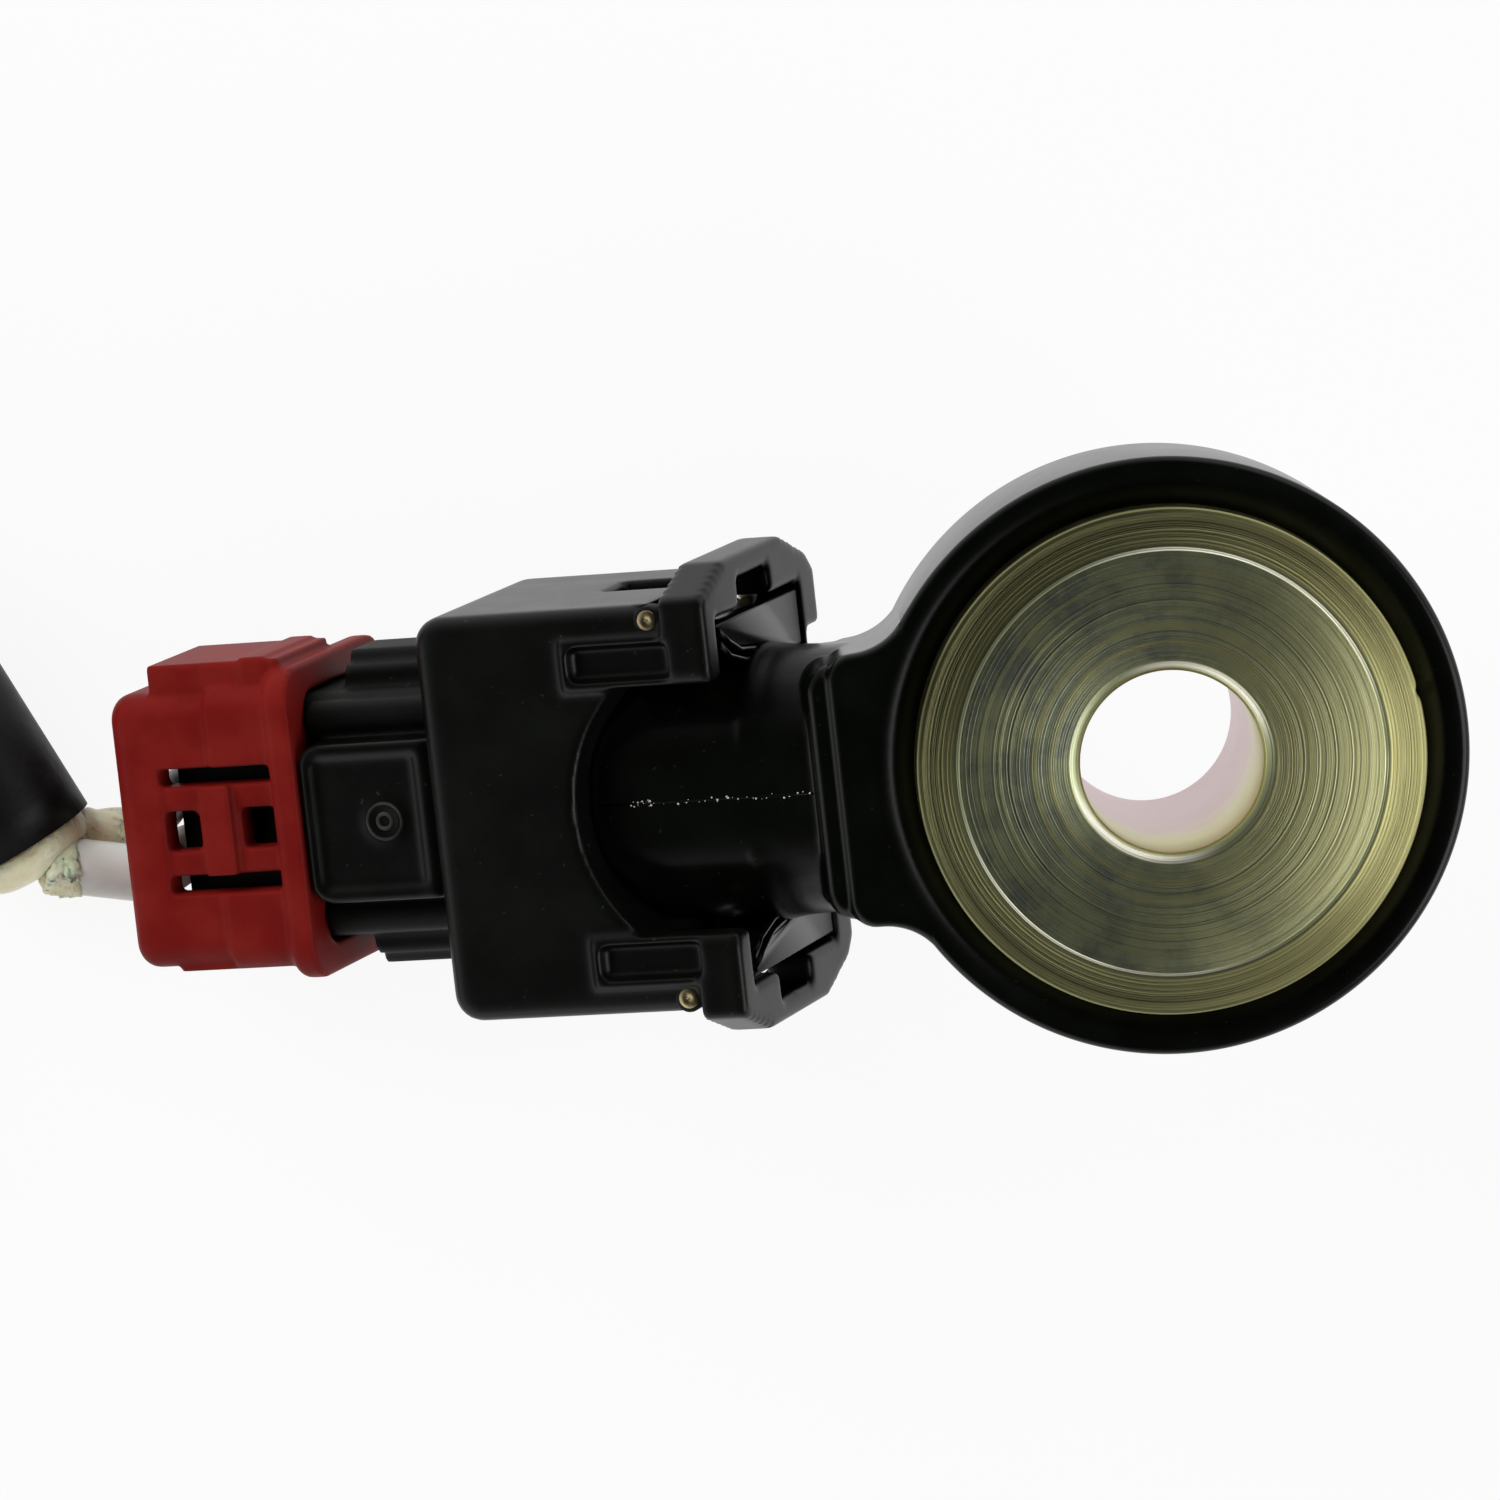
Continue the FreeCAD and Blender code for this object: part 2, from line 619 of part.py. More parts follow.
def ring_body():
    """Round part of the moulding: drafted wall, rounded back and a boss over the nut."""
    back_radius = RING_RADIUS - RING_DRAFT
    turn = math.sqrt(0.5)
    top = RING_FRONT
    front = RING_RADIUS - RING_FRONT_ROUND
    shoulder = back_radius - RING_BACK_ROUND
    lip = BOSS_RADIUS - BOSS_ROUND
    segments = [
        Part.LineSegment(Vector(SLEEVE_RADIUS, 0, top), Vector(front, 0, top)),
        Part.Arc(Vector(front, 0, top),
                 Vector(front + RING_FRONT_ROUND * turn, 0, top - RING_FRONT_ROUND * (1 - turn)),
                 Vector(RING_RADIUS, 0, top - RING_FRONT_ROUND)),
        Part.LineSegment(Vector(RING_RADIUS, 0, top - RING_FRONT_ROUND), Vector(back_radius, 0, RING_BACK)),
        Part.Arc(Vector(back_radius, 0, RING_BACK),
                 Vector(shoulder + RING_BACK_ROUND * turn, 0, BODY_BACK + RING_BACK_ROUND * (1 - turn)),
                 Vector(shoulder, 0, BODY_BACK)),
        Part.LineSegment(Vector(shoulder, 0, BODY_BACK), Vector(BOSS_RADIUS, 0, BODY_BACK)),
        Part.LineSegment(Vector(BOSS_RADIUS, 0, BODY_BACK), Vector(BOSS_RADIUS, 0, BOSS_BACK + BOSS_ROUND)),
        Part.Arc(Vector(BOSS_RADIUS, 0, BOSS_BACK + BOSS_ROUND),
                 Vector(lip + BOSS_ROUND * turn, 0, BOSS_BACK + BOSS_ROUND * (1 - turn)),
                 Vector(lip, 0, BOSS_BACK)),
        Part.LineSegment(Vector(lip, 0, BOSS_BACK), Vector(SLEEVE_RADIUS, 0, BOSS_BACK)),
        Part.LineSegment(Vector(SLEEVE_RADIUS, 0, BOSS_BACK), Vector(SLEEVE_RADIUS, 0, top)),
    ]
    outline = Part.Wire([segment.toShape() for segment in segments])
    return Part.Face(outline).revolve(Vector(), Vector(0, 0, 1), 360)


def barrel():
    """Oval barrel round the pins, with the two guide wings and the two lock nibs."""
    half = BARREL_WIDTH / 2
    outer = rounded_bar(-BARREL_ROOT, BARREL_LENGTH, half, BARREL_BOTTOM, BARREL_TOP, BARREL_ROUND)
    base = rounded_bar(BASE_RIM_START, BASE_RIM_END, half + BASE_RIM_STEP, BARREL_BOTTOM - BASE_RIM_STEP,
                       BARREL_TOP + BASE_RIM_STEP, BARREL_ROUND + BASE_RIM_STEP)
    base = round_edges(base, BASE_RIM_ROUND, lambda middle, span: middle.x > BASE_RIM_END - TINY)
    outer = outer.fuse(base)
    hollow = rounded_bar(BARREL_FLOOR, BARREL_LENGTH + PAST, half - BARREL_WALL,
                         BARREL_BOTTOM + BARREL_WALL, BARREL_TOP - BARREL_WALL, BARREL_ROUND - BARREL_WALL)
    root = half - BARREL_WALL / 2
    for hand in (1, -1):
        corners = [(root, WING_BOTTOM), (WING_SPREAD, WING_BOTTOM), (WING_SPREAD, WING_TOP),
                   (WING_NECK_SPREAD, WING_NECK_TOP), (root, WING_NECK_TOP)]
        outline = [Vector(WING_START, hand * y, z) for y, z in corners]
        outline.append(outline[0])
        wing = Part.Face(Part.makePolygon(outline)).extrude(Vector(WING_END - WING_START, 0, 0))
        wing = round_edges(wing, WING_ROUND, lambda middle, span: abs(abs(middle.y) - WING_SPREAD) < TINY
                           and abs(span.x) > TINY)
        nib = Part.Face(Part.makePolygon([
            Vector(NIB_START, hand * root, 0), Vector(NIB_START, hand * NIB_SPREAD, 0),
            Vector(NIB_START + NIB_FLAT, hand * NIB_SPREAD, 0),
            Vector(NIB_START + NIB_LENGTH, hand * root, 0), Vector(NIB_START, hand * root, 0)]))
        nib = nib.extrude(Vector(0, 0, NIB_WIDTH))
        nib.translate(Vector(0, 0, NIB_LIFT - NIB_WIDTH / 2))
        outer = outer.fuse([wing, nib])
    return outer, hollow


def sensor_housing(inner):
    """One moulding over the sleeve's stack; inner is what it is moulded round."""
    collar = box(-NECK_REACH - COLLAR_THICKNESS, -NECK_REACH + PAST, -NECK_WIDTH / 2 + COLLAR_INSET,
                 NECK_WIDTH / 2 - COLLAR_INSET, RING_BACK, RING_FRONT - COLLAR_INSET)
    collar = round_edges(collar, NECK_CORNER, lambda middle, span: abs(span.z) > TINY
                         and middle.x < -NECK_REACH)
    outer, hollow = barrel()
    body = ring_body().fuse([neck_block(), collar, place(outer)]).cut(place(hollow))
    seat = Part.makeCylinder(FLANGE_RADIUS, FLANGE_THICKNESS, Vector(0, 0, -FLANGE_THICKNESS))
    room = Part.makeCylinder(STACK_RADIUS + MOULD_GAP, STACK_TOP - NUT_TOP, Vector(0, 0, NUT_TOP))
    nut_room = Part.makeCylinder(NUT_RADIUS + MOULD_GAP, STACK_TOP - NUT_BOTTOM, Vector(0, 0, NUT_BOTTOM))
    body = body.cut(seat.fuse([room, nut_room]))
    body = body.cut(Part.makeCylinder(SLEEVE_RADIUS, 2 * BORE_LENGTH, Vector(0, 0, -BORE_LENGTH)))
    for piece in inner:
        body = body.cut(piece)
    return largest(body)


def largest(shape):
    """The biggest solid of a result, without slivers."""
    solids = sorted(shape.Solids, key=lambda solid: solid.Volume)
    return solids[-1]


def wire_radius(side):
    return (SIGNAL_WIRE if side > 0 else GROUND_WIRE) / 2


def box_terminal(start, length, crimp_end, middle, level):
    """Box terminal that ends in a crimp; the wire's cover starts at crimp_end."""
    half = TERMINAL_WIDTH / 2
    low = level - TERMINAL_HEIGHT / 2
    high = level + TERMINAL_HEIGHT / 2
    shell = box(start, start + length, middle - half, middle + half, low, high)
    room = box(start, start + length - TERMINAL_BACK, middle - half + TERMINAL_SHEET,
               middle + half - TERMINAL_SHEET, low + TERMINAL_SHEET, high - TERMINAL_SHEET)
    crimp = cylinder(CRIMP_RADIUS, Vector(start + length, middle, level), Vector(crimp_end, middle, level))
    return shell.cut(room).fuse(crimp)


def socket_terminal(side):
    return place(box_terminal(TERMINAL_START, TERMINAL_BOX, WIRE_START, side * PIN_PITCH / 2, BARREL_LIFT))


def ear(hand):
    """Side ear of the plug's mouth, with sloped shoulders front and back."""
    points = [(EAR_INNER, EAR_TOP), (EAR_SHOULDER, EAR_TOP), (EAR_SPREAD, EAR_FRONT_SLOPE),
              (EAR_SPREAD, -EAR_BACK_SLOPE), (EAR_SHOULDER, EAR_BOTTOM + EAR_FOOT_RISE),
              (EAR_FOOT, EAR_BOTTOM), (EAR_INNER, EAR_BOTTOM)]
    outline = [Vector(0, hand * y, z) for y, z in points]
    outline.append(outline[0])
    solid = Part.Face(Part.makePolygon(outline)).extrude(Vector(EAR_LENGTH, 0, 0))
    return round_edges(solid, EAR_ROUND, lambda middle, span: abs(span.x) > TINY
                       and abs(middle.y) > EAR_INNER + TINY)


def side_box(x0, x1, inner, outer, z0, z1, hand):
    """Box on one side of the connector's middle plane."""
    low, high = sorted((hand * inner, hand * outer))
    return box(x0, x1, low, high, z0, z1)


def rail(hand):
    """Raised rail on the front face, with a shallow pocket inside its border."""
    top = PLUG_TOP + RAIL_HEIGHT
    pad = side_box(0, RAIL_END, RAIL_INNER, RAIL_OUTER, PLUG_TOP - RAIL_POCKET, top, hand)
    pocket = side_box(RAIL_START, RAIL_END - RAIL_BORDER, RAIL_INNER + RAIL_BORDER,
                      RAIL_OUTER - RAIL_BORDER, PLUG_TOP - RAIL_POCKET, top + PAST, hand)
    return pad, pocket


def spring_path():
    """Edges of the lock spring's centre line: two legs and the bar that joins them."""
    turn = SPRING_BEND * (1 - math.sqrt(0.5))
    front = PLUG_TOP - SPRING_SINK
    back = PLUG_BOTTOM - SPRING_PROUD
    edges = []
    for hand in (1, -1):
        leg_top = Vector(SPRING_X, hand * SPRING_SPREAD, front)
        leg_low = Vector(SPRING_X, hand * SPRING_SPREAD, back + SPRING_BEND)
        bar_end = Vector(SPRING_X, hand * (SPRING_SPREAD - SPRING_BEND), back)
        middle = Vector(SPRING_X, hand * (SPRING_SPREAD - turn), back + turn)
        edges.append(Part.LineSegment(leg_top, leg_low).toShape())
        edges.append(Part.Arc(leg_low, middle, bar_end).toShape())
    near = Vector(SPRING_X, SPRING_SPREAD - SPRING_BEND, back)
    far = Vector(SPRING_X, SPRING_BEND - SPRING_SPREAD, back)
    edges.append(Part.LineSegment(near, far).toShape())
    return Part.Wire(Part.__sortEdges__(edges))


def spring_wire(diameter):
    path = spring_path()
    start = Vector(SPRING_X, SPRING_SPREAD, PLUG_TOP - SPRING_SINK)
    if (path.OrderedVertexes[0].Point - start).Length > TINY:
        start = Vector(SPRING_X, -SPRING_SPREAD, PLUG_TOP - SPRING_SINK)
    section = Part.Wire(Part.makeCircle(diameter / 2, start, Vector(0, 0, 1)))
    return path.makePipeShell([section], True, True)


def panel():
    """Flat tongue behind the plug: raised border, sunk panel and a plain ring mark."""
    start = PLUG_LENGTH - PLUG_EDGE_ROUND
    end = PANEL_END
    half = PANEL_WIDTH / 2
    plate = box(start, end, -half, half, PANEL_BOTTOM, PANEL_TOP)
    plate = round_edges(plate, PANEL_CORNER, lambda middle, span: abs(span.z) > TINY
                        and middle.x > end - TINY)
    floor = PANEL_TOP - PANEL_POCKET
    pocket = box(PLUG_LENGTH + PANEL_GROOVE + PANEL_BORDER, end - PANEL_BORDER, -half + PANEL_BORDER,
                 half - PANEL_BORDER, floor, PANEL_TOP + PAST)
    pocket = round_edges(pocket, PANEL_BORDER, lambda middle, span: abs(span.z) > TINY)
    groove = box(PLUG_LENGTH, PLUG_LENGTH + PANEL_GROOVE, -half, half, floor, PANEL_TOP + PAST)
    mark = ring(MARK_RADIUS, MARK_RADIUS - MARK_WIDTH, floor + MARK_HEIGHT, MARK_HEIGHT)
    mark.translate(Vector(PLUG_LENGTH + MARK_PLACE, 0, 0))
    return plate.cut(pocket.fuse(groove)).fuse(mark)


def rear_tower():
    """Tower behind the plug's body, with stepped shoulders and a round ridge on each side."""
    start = PLUG_LENGTH - PLUG_EDGE_ROUND
    tower = rounded_bar(start, REAR_END, REAR_WIDTH / 2, REAR_BOTTOM, REAR_TOP, REAR_ROUND)
    pieces = []
    half = SHOULDER_WIDTH / 2
    shoulder_end = PLUG_LENGTH + SHOULDER_LENGTH
    low = REAR_BOTTOM + SHOULDER_LOW
    pieces.append(rounded_bar(start, shoulder_end, half, low, SHOULDER_TOP, SHOULDER_ROUND))
    pieces.append(rounded_bar(start + SHOULDER_BLOCK_START, shoulder_end, half + SHOULDER_BLOCK_SPREAD, low,
                              SHOULDER_TOP - SHOULDER_BLOCK_DROP, SHOULDER_ROUND))
    for hand in (1, -1):
        ridge = cylinder(RIDGE_RADIUS, Vector(start, hand * RIDGE_OFFSET, REAR_TOP),
                         Vector(RIM_START - CAP_GAP, hand * RIDGE_OFFSET, REAR_TOP))
        pieces.append(ridge)
    return tower.fuse(pieces)


def plug_housing():
    half = PLUG_WIDTH / 2
    body = box(0, PLUG_LENGTH, -half, half, PLUG_BOTTOM, PLUG_TOP)
    body = round_edges(body, PLUG_CORNER, lambda middle, span: abs(span.z) > TINY
                       and middle.x > PLUG_LENGTH - TINY)
    level = (PLUG_TOP, PLUG_BOTTOM)
    body = round_edges(body, PLUG_EDGE_ROUND, lambda middle, span: middle.x > TINY
                       and min(abs(middle.z - z) for z in level) < TINY)
    rails = [rail(hand) for hand in (1, -1)]
    body = body.fuse([ear(1), ear(-1)] + [pad for pad, pocket in rails])
    body = body.fuse([rear_tower(), panel()])
    skirt = rounded_bar(-PAST, SKIRT_DEPTH, BARREL_WIDTH / 2 + SKIRT_GAP, BARREL_BOTTOM - SKIRT_GAP,
                        BARREL_TOP + SKIRT_GAP, BARREL_ROUND + SKIRT_GAP)
    notch = Part.makeCylinder(NOTCH_RADIUS, EAR_TOP, Vector(-NOTCH_SHIFT, 0, BARREL_LIFT))
    notch = notch.common(box(-PAST, PLUG_LENGTH, -NOTCH_HALF_WIDTH, NOTCH_HALF_WIDTH, 0, EAR_TOP + PAST))
    cuts = [skirt, notch, spring_wire(SPRING_HOLE)] + [pocket for pad, pocket in rails]
    inner = BARREL_WIDTH / 2 - BARREL_WALL
    for hand in (1, -1):
        slot_end = SPRING_X + SPRING_WIRE / 2 + EAR_SLOT_GAP
        cuts.append(side_box(-PAST, slot_end, inner, WING_SPREAD + EAR_SLOT_GAP,
                             WING_BOTTOM - EAR_SLOT_GAP, WING_TOP + EAR_SLOT_GAP, hand))
        cuts.append(side_box(-PAST, EAR_LENGTH + PAST, inner, KEYWAY_SPREAD,
                             KEYWAY_LIFT - KEYWAY_WIDTH / 2, KEYWAY_LIFT + KEYWAY_WIDTH / 2, hand))
        cuts.append(side_box(EAR_LENGTH, SIDE_SLOT_END, inner, half + PAST,
                             NIB_LIFT - SIDE_SLOT_WIDTH / 2, NIB_LIFT + SIDE_SLOT_WIDTH / 2, hand))
    body = body.cut(cuts[0].fuse(cuts[1:]))
    tower = rounded_bar(TOWER_START, SKIRT_DEPTH + PAST, TOWER_WIDTH / 2, BARREL_LIFT - TOWER_HEIGHT / 2,
                        BARREL_LIFT + TOWER_HEIGHT / 2, TOWER_ROUND)
    body = body.fuse(tower)
    body = body.cut(rounded_bar(SEAL_START, REAR_END + PAST, SEAL_WIDTH / 2, BARREL_LIFT - SEAL_HEIGHT / 2,
                                BARREL_LIFT + SEAL_HEIGHT / 2, SEAL_ROUND))
    for side in SIDES.values():
        middle = side * PIN_PITCH / 2
        wide = TERMINAL_WIDTH / 2 + TERMINAL_GAP
        tall = TERMINAL_HEIGHT / 2 + TERMINAL_GAP
        body = body.cut(box(TERMINAL_START, WIRE_START, middle - wide, middle + wide, BARREL_LIFT - tall,
                            BARREL_LIFT + tall))
        body = body.cut(box(0, TERMINAL_START, middle - PIN_WIDTH / 2 - PIN_ENTRY_GAP,
                            middle + PIN_WIDTH / 2 + PIN_ENTRY_GAP,
                            BARREL_LIFT - PIN_THICKNESS / 2 - PIN_ENTRY_GAP,
                            BARREL_LIFT + PIN_THICKNESS / 2 + PIN_ENTRY_GAP))
        wire_end = Vector(SEAL_START, middle, BARREL_LIFT)
        body = body.cut(cylinder(wire_radius(side) + CAVITY_BORE_GAP,
                                 Vector(WIRE_START, middle, BARREL_LIFT), wire_end))
    return place(largest(body))


def interface_seal():
    """Ribbed sleeve seal between the plug's tower and the barrel's wall."""
    half = BARREL_WIDTH / 2 - BARREL_WALL - GASKET_GAP
    tall = BARREL_HEIGHT / 2 - BARREL_WALL - GASKET_GAP
    end = GASKET_START + GASKET_LENGTH
    low = GASKET_RIB_HEIGHT
    body = rounded_bar(GASKET_START, end, half - low, BARREL_LIFT - tall + low, BARREL_LIFT + tall - low,
                       BARREL_ROUND - BARREL_WALL - low)
    pitch = GASKET_LENGTH / (2 * GASKET_RIBS + 1)
    for index in range(GASKET_RIBS):
        start = GASKET_START + pitch * (1 + 2 * index)
        body = body.fuse(rounded_bar(start, start + pitch, half, BARREL_LIFT - tall, BARREL_LIFT + tall,
                                     BARREL_ROUND - BARREL_WALL))
    bore = rounded_bar(GASKET_START - PAST, end + PAST, TOWER_WIDTH / 2, BARREL_LIFT - TOWER_HEIGHT / 2,
                       BARREL_LIFT + TOWER_HEIGHT / 2, TOWER_ROUND)
    return place(body.cut(bore))


def mat_seal(start, length, width, height, level, radius, pitch):
    """Mat seal with ribs round it and one hole for each wire."""
    low = SEAL_RIB_HEIGHT
    body = rounded_bar(start, start + length, width / 2 - low, level - height / 2 + low,
                       level + height / 2 - low, radius)
    step = length / (2 * SEAL_RIBS - 1)
    for index in range(SEAL_RIBS):
        low_x = start + 2 * step * index
        tall = height / 2 - MOULD_GAP
        body = body.fuse(rounded_bar(low_x, low_x + step, width / 2 - MOULD_GAP, level - tall, level + tall,
                                     radius))
    for side in SIDES.values():
        body = body.cut(cylinder(wire_radius(side), Vector(start - PAST, side * pitch / 2, level),
                                 Vector(start + length + PAST, side * pitch / 2, level)))
    return body


def wire_seal():
    seal = mat_seal(SEAL_START, SEAL_LENGTH, SEAL_WIDTH, SEAL_HEIGHT, BARREL_LIFT, SEAL_ROUND, PIN_PITCH)
    return place(seal)


def lock_spring():
    return place(spring_wire(SPRING_WIRE))


def rear_holder():
    """Red cap that holds the wire seal and the terminals in."""
    rim = rounded_bar(RIM_START, CAP_START, RIM_WIDTH / 2, RIM_BOTTOM, RIM_TOP, RIM_ROUND)
    rim = round_edges(rim, RIM_EDGE_ROUND, lambda middle, span: middle.x > CAP_START - TINY)
    cap = rounded_bar(RIM_START, CAP_END, CAP_WIDTH / 2, CAP_BOTTOM, CAP_TOP, CAP_ROUND)
    cap = round_edges(cap, CAP_END_ROUND, lambda middle, span: middle.x > CAP_END - TINY)
    step = rounded_bar(RIM_START, RIM_START + CAP_STEP_LENGTH, CAP_WIDTH / 2 + CAP_STEP,
                       CAP_BOTTOM - CAP_STEP, CAP_TOP + CAP_STEP, CAP_ROUND)
    pieces = [cap, step]
    for hand, spread in ((-1, HOLDER_BLOCK_SPREAD), (1, HOLDER_KEEL_SPREAD)):
        pieces.append(side_box(RIM_START + RIM_THICKNESS / 2, RIM_START + HOLDER_BLOCK_LENGTH,
                               CAP_WIDTH / 2 - CAP_ROUND, spread, HOLDER_BLOCK_BOTTOM, HOLDER_BLOCK_TOP,
                               hand))
    pieces.append(side_box(CAP_START, RIM_START + HOLDER_BLOCK_STEP_LENGTH, CAP_WIDTH / 2 - CAP_ROUND,
                           HOLDER_BLOCK_SPREAD + HOLDER_BLOCK_STEP, HOLDER_BLOCK_BOTTOM,
                           HOLDER_BLOCK_TOP + HOLDER_BLOCK_STEP, -1))
    holder = rim.fuse(pieces)
    over = CAP_TOP + CAP_STEP
    slot_end = RIM_START + HOLDER_SLOT_REACH
    tongue_half = HOLDER_SLOT_OFFSET - HOLDER_SLOT_WIDTH / 2
    tongue = box(CAP_START, slot_end, -tongue_half, tongue_half, CAP_TOP - HOLDER_TONGUE_SINK, over + PAST)
    holder = holder.cut(tongue)
    rib_start = RIM_START + HOLDER_RIB_REACH
    holder = holder.fuse(box(rib_start, rib_start + HOLDER_RIB_LENGTH, -tongue_half, tongue_half,
                             CAP_TOP - HOLDER_TONGUE_SINK * 2, CAP_TOP + HOLDER_RIB_HEIGHT))
    holder = holder.cut(rounded_bar(RIM_START - PAST, REAR_END + CAP_GAP, REAR_WIDTH / 2 + CAP_GAP,
                                    REAR_BOTTOM - CAP_GAP, REAR_TOP + CAP_GAP, REAR_ROUND))
    room_end = CAP_END - HOLDER_LIP_LENGTH
    room_floor = BARREL_LIFT - SEAL_HEIGHT / 2 - CAP_GAP
    mouth_top = BARREL_LIFT + SIGNAL_WIRE / 2 + HOLDER_LIP_GAP
    half = HOLDER_ROOM_WIDTH / 2
    holder = holder.cut(box(REAR_END, room_end, -half, half, room_floor, REAR_TOP + CAP_GAP))
    holder = holder.cut(box(REAR_END, CAP_END + PAST, -half, half, room_floor, mouth_top))
    for hand in (1, -1):
        middle = hand * HOLDER_SLOT_OFFSET
        holder = holder.cut(box(CAP_START, slot_end, middle - HOLDER_SLOT_WIDTH / 2,
                                middle + HOLDER_SLOT_WIDTH / 2, REAR_TOP - PAST, over + PAST))
    half = HOLDER_WINDOW_WIDTH / 2
    for reach in (HOLDER_WINDOW_NEAR, HOLDER_WINDOW_FAR):
        start = RIM_START + reach
        window_end = start + HOLDER_WINDOW_LENGTH
        holder = holder.cut(box(start, window_end, -half, half, REAR_TOP - PAST, over + PAST))
    return place(largest(holder))


LEAD = Vector(math.cos(math.radians(LEAD_HEADING)), math.sin(math.radians(LEAD_HEADING)), 0)
SHEATH_MOUTH = at(CAP_END, 0, 0) + Vector(*SHEATH_STAND_OFF)


def wire_route(side):
    """The wire leaves its crimp, runs out of the holder and bends down into the gum."""
    middle = side * PIN_PITCH / 2
    start = at(WIRE_START, middle, BARREL_LIFT)
    turn = at(REAR_END + WIRE_STRAIGHT, middle, BARREL_LIFT)
    out, entry = (SIGNAL_OUT, SIGNAL_ENTRY) if side > 0 else (GROUND_OUT, GROUND_ENTRY)
    return [start, turn, at(CAP_END + out[0], out[1], BARREL_LIFT + out[2]), SHEATH_MOUTH + Vector(*entry)]


def gum(wires):
    """Lump of yellowed sealing gum that closes the sheath's mouth round the wires."""
    mouth = SHEATH_MOUTH
    axis = LEAD * -1
    across = Vector(0, 0, 1)
    tip = mouth + axis * GUM_LENGTH
    outline = [
        Part.LineSegment(mouth, mouth + across * GUM_RADIUS).toShape(),
        Part.Arc(mouth + across * GUM_RADIUS, mouth + axis * GUM_SHOULDER_PLACE + across * GUM_SHOULDER,
                 tip + across * GUM_TIP).toShape(),
        Part.LineSegment(tip + across * GUM_TIP, tip).toShape(),
        Part.LineSegment(tip, mouth).toShape(),
    ]
    lump = Part.Face(Part.Wire(outline)).revolve(mouth, axis, 360)
    for wire in wires:
        lump = lump.cut(wire)
    return largest(lump)


def coil_centre():
    """The first turn starts where the lead ends and bends to the left."""
    start = SHEATH_MOUTH + LEAD * LEAD_LENGTH
    inward = Vector(-LEAD.y, LEAD.x, 0)
    return start + inward * COIL_RADIUS


def coil_inner():
    return COIL_RADIUS - COIL_PITCH * COIL_TURNS


def sheath_coil():
    """Outer shape of the put away turns: a flat ring as thick as the sheath."""
    centre = coil_centre()
    low = Vector(centre.x, centre.y, centre.z - SHEATH / 2)
    outer = Part.makeCylinder(COIL_RADIUS + SHEATH / 2, SHEATH, low)
    hollow = Part.makeCylinder(coil_inner() - SHEATH / 2, SHEATH, low)
    return outer.cut(hollow)


def sheath_lead(coil):
    run = [SHEATH_MOUTH, SHEATH_MOUTH + LEAD * LEAD_LENGTH]
    return largest(tube(run, SHEATH).cut(coil))


def tail_points():
    """Centre line of the sheath's last bend, from the coil's inside to its end."""
    centre = coil_centre()
    start_angle = math.radians(LEAD_HEADING - 90 + 360 * COIL_TURNS)
    outward = Vector(math.cos(start_angle), math.sin(start_angle), 0)
    start = centre + outward * coil_inner()
    pivot = centre + outward * (coil_inner() - TAIL_RADIUS)
    middle_angle = start_angle + math.radians(TAIL_TURN / 2)
    end_angle = start_angle + math.radians(TAIL_TURN)
    middle = pivot + Vector(math.cos(middle_angle), math.sin(middle_angle), 0) * TAIL_RADIUS
    end = pivot + Vector(math.cos(end_angle), math.sin(end_angle), 0) * TAIL_RADIUS
    heading = Vector(-math.sin(end_angle), math.cos(end_angle), 0)
    return start, middle, end, heading


def sheath_tail(coil):
    start, middle, end, heading = tail_points()
    path = Part.Wire(Part.Arc(start, middle, end).toShape())
    first = Vector(-(start - coil_centre()).y, (start - coil_centre()).x, 0)
    section = Part.Wire(Part.makeCircle(SHEATH / 2, start, first))
    whole = path.makePipeShell([section], True, True)
    return largest(whole.cut(coil).cut(outside_coil()))


def outside_coil():
    """Everything outside the coil's inner wall, so that the tail starts at that wall."""
    centre = coil_centre()
    low = Vector(centre.x, centre.y, centre.z - SHEATH)
    outer = Part.makeCylinder(COIL_RADIUS + 2 * SHEATH, 2 * SHEATH, low)
    return outer.cut(Part.makeCylinder(coil_inner() - SHEATH / 2, 2 * SHEATH, low))


def far_frame():
    """Frame of the far plug: x runs the way the sheath ends, z is up."""
    start, middle, end, heading = tail_points()
    turn = math.degrees(math.atan2(heading.y, heading.x))
    return Placement(end, Rotation(Vector(0, 0, 1), turn))


def far_place(shape):
    placed = shape.copy()
    placed.Placement = far_frame().multiply(placed.Placement)
    return placed


FAR_START = FAR_WIRE_LENGTH
FAR_CRIMP = FAR_START + FAR_SEAL_LENGTH + FAR_CRIMP_GAP
FAR_END = FAR_START + FAR_LENGTH


def far_wire(side):
    """Wire between the sheath's end and the far plug, where the pair spreads to the plug's pitch."""
    spread = wire_radius(side) + FAR_WIRE_GAP
    points = [Vector(0, side * spread, 0), Vector(FAR_SPREAD_START, side * spread, 0),
              Vector(FAR_SPREAD_END, side * FAR_PITCH / 2, 0), Vector(FAR_CRIMP, side * FAR_PITCH / 2, 0)]
    return far_place(tube(points, 2 * wire_radius(side)))


def far_terminal(side):
    start = FAR_END - FAR_MOUTH
    shape = box_terminal(-start, FAR_TERMINAL_LENGTH - FAR_MOUTH, -FAR_CRIMP, -side * FAR_PITCH / 2, 0)
    shape.rotate(Vector(), Vector(0, 0, 1), 180)
    return far_place(shape)


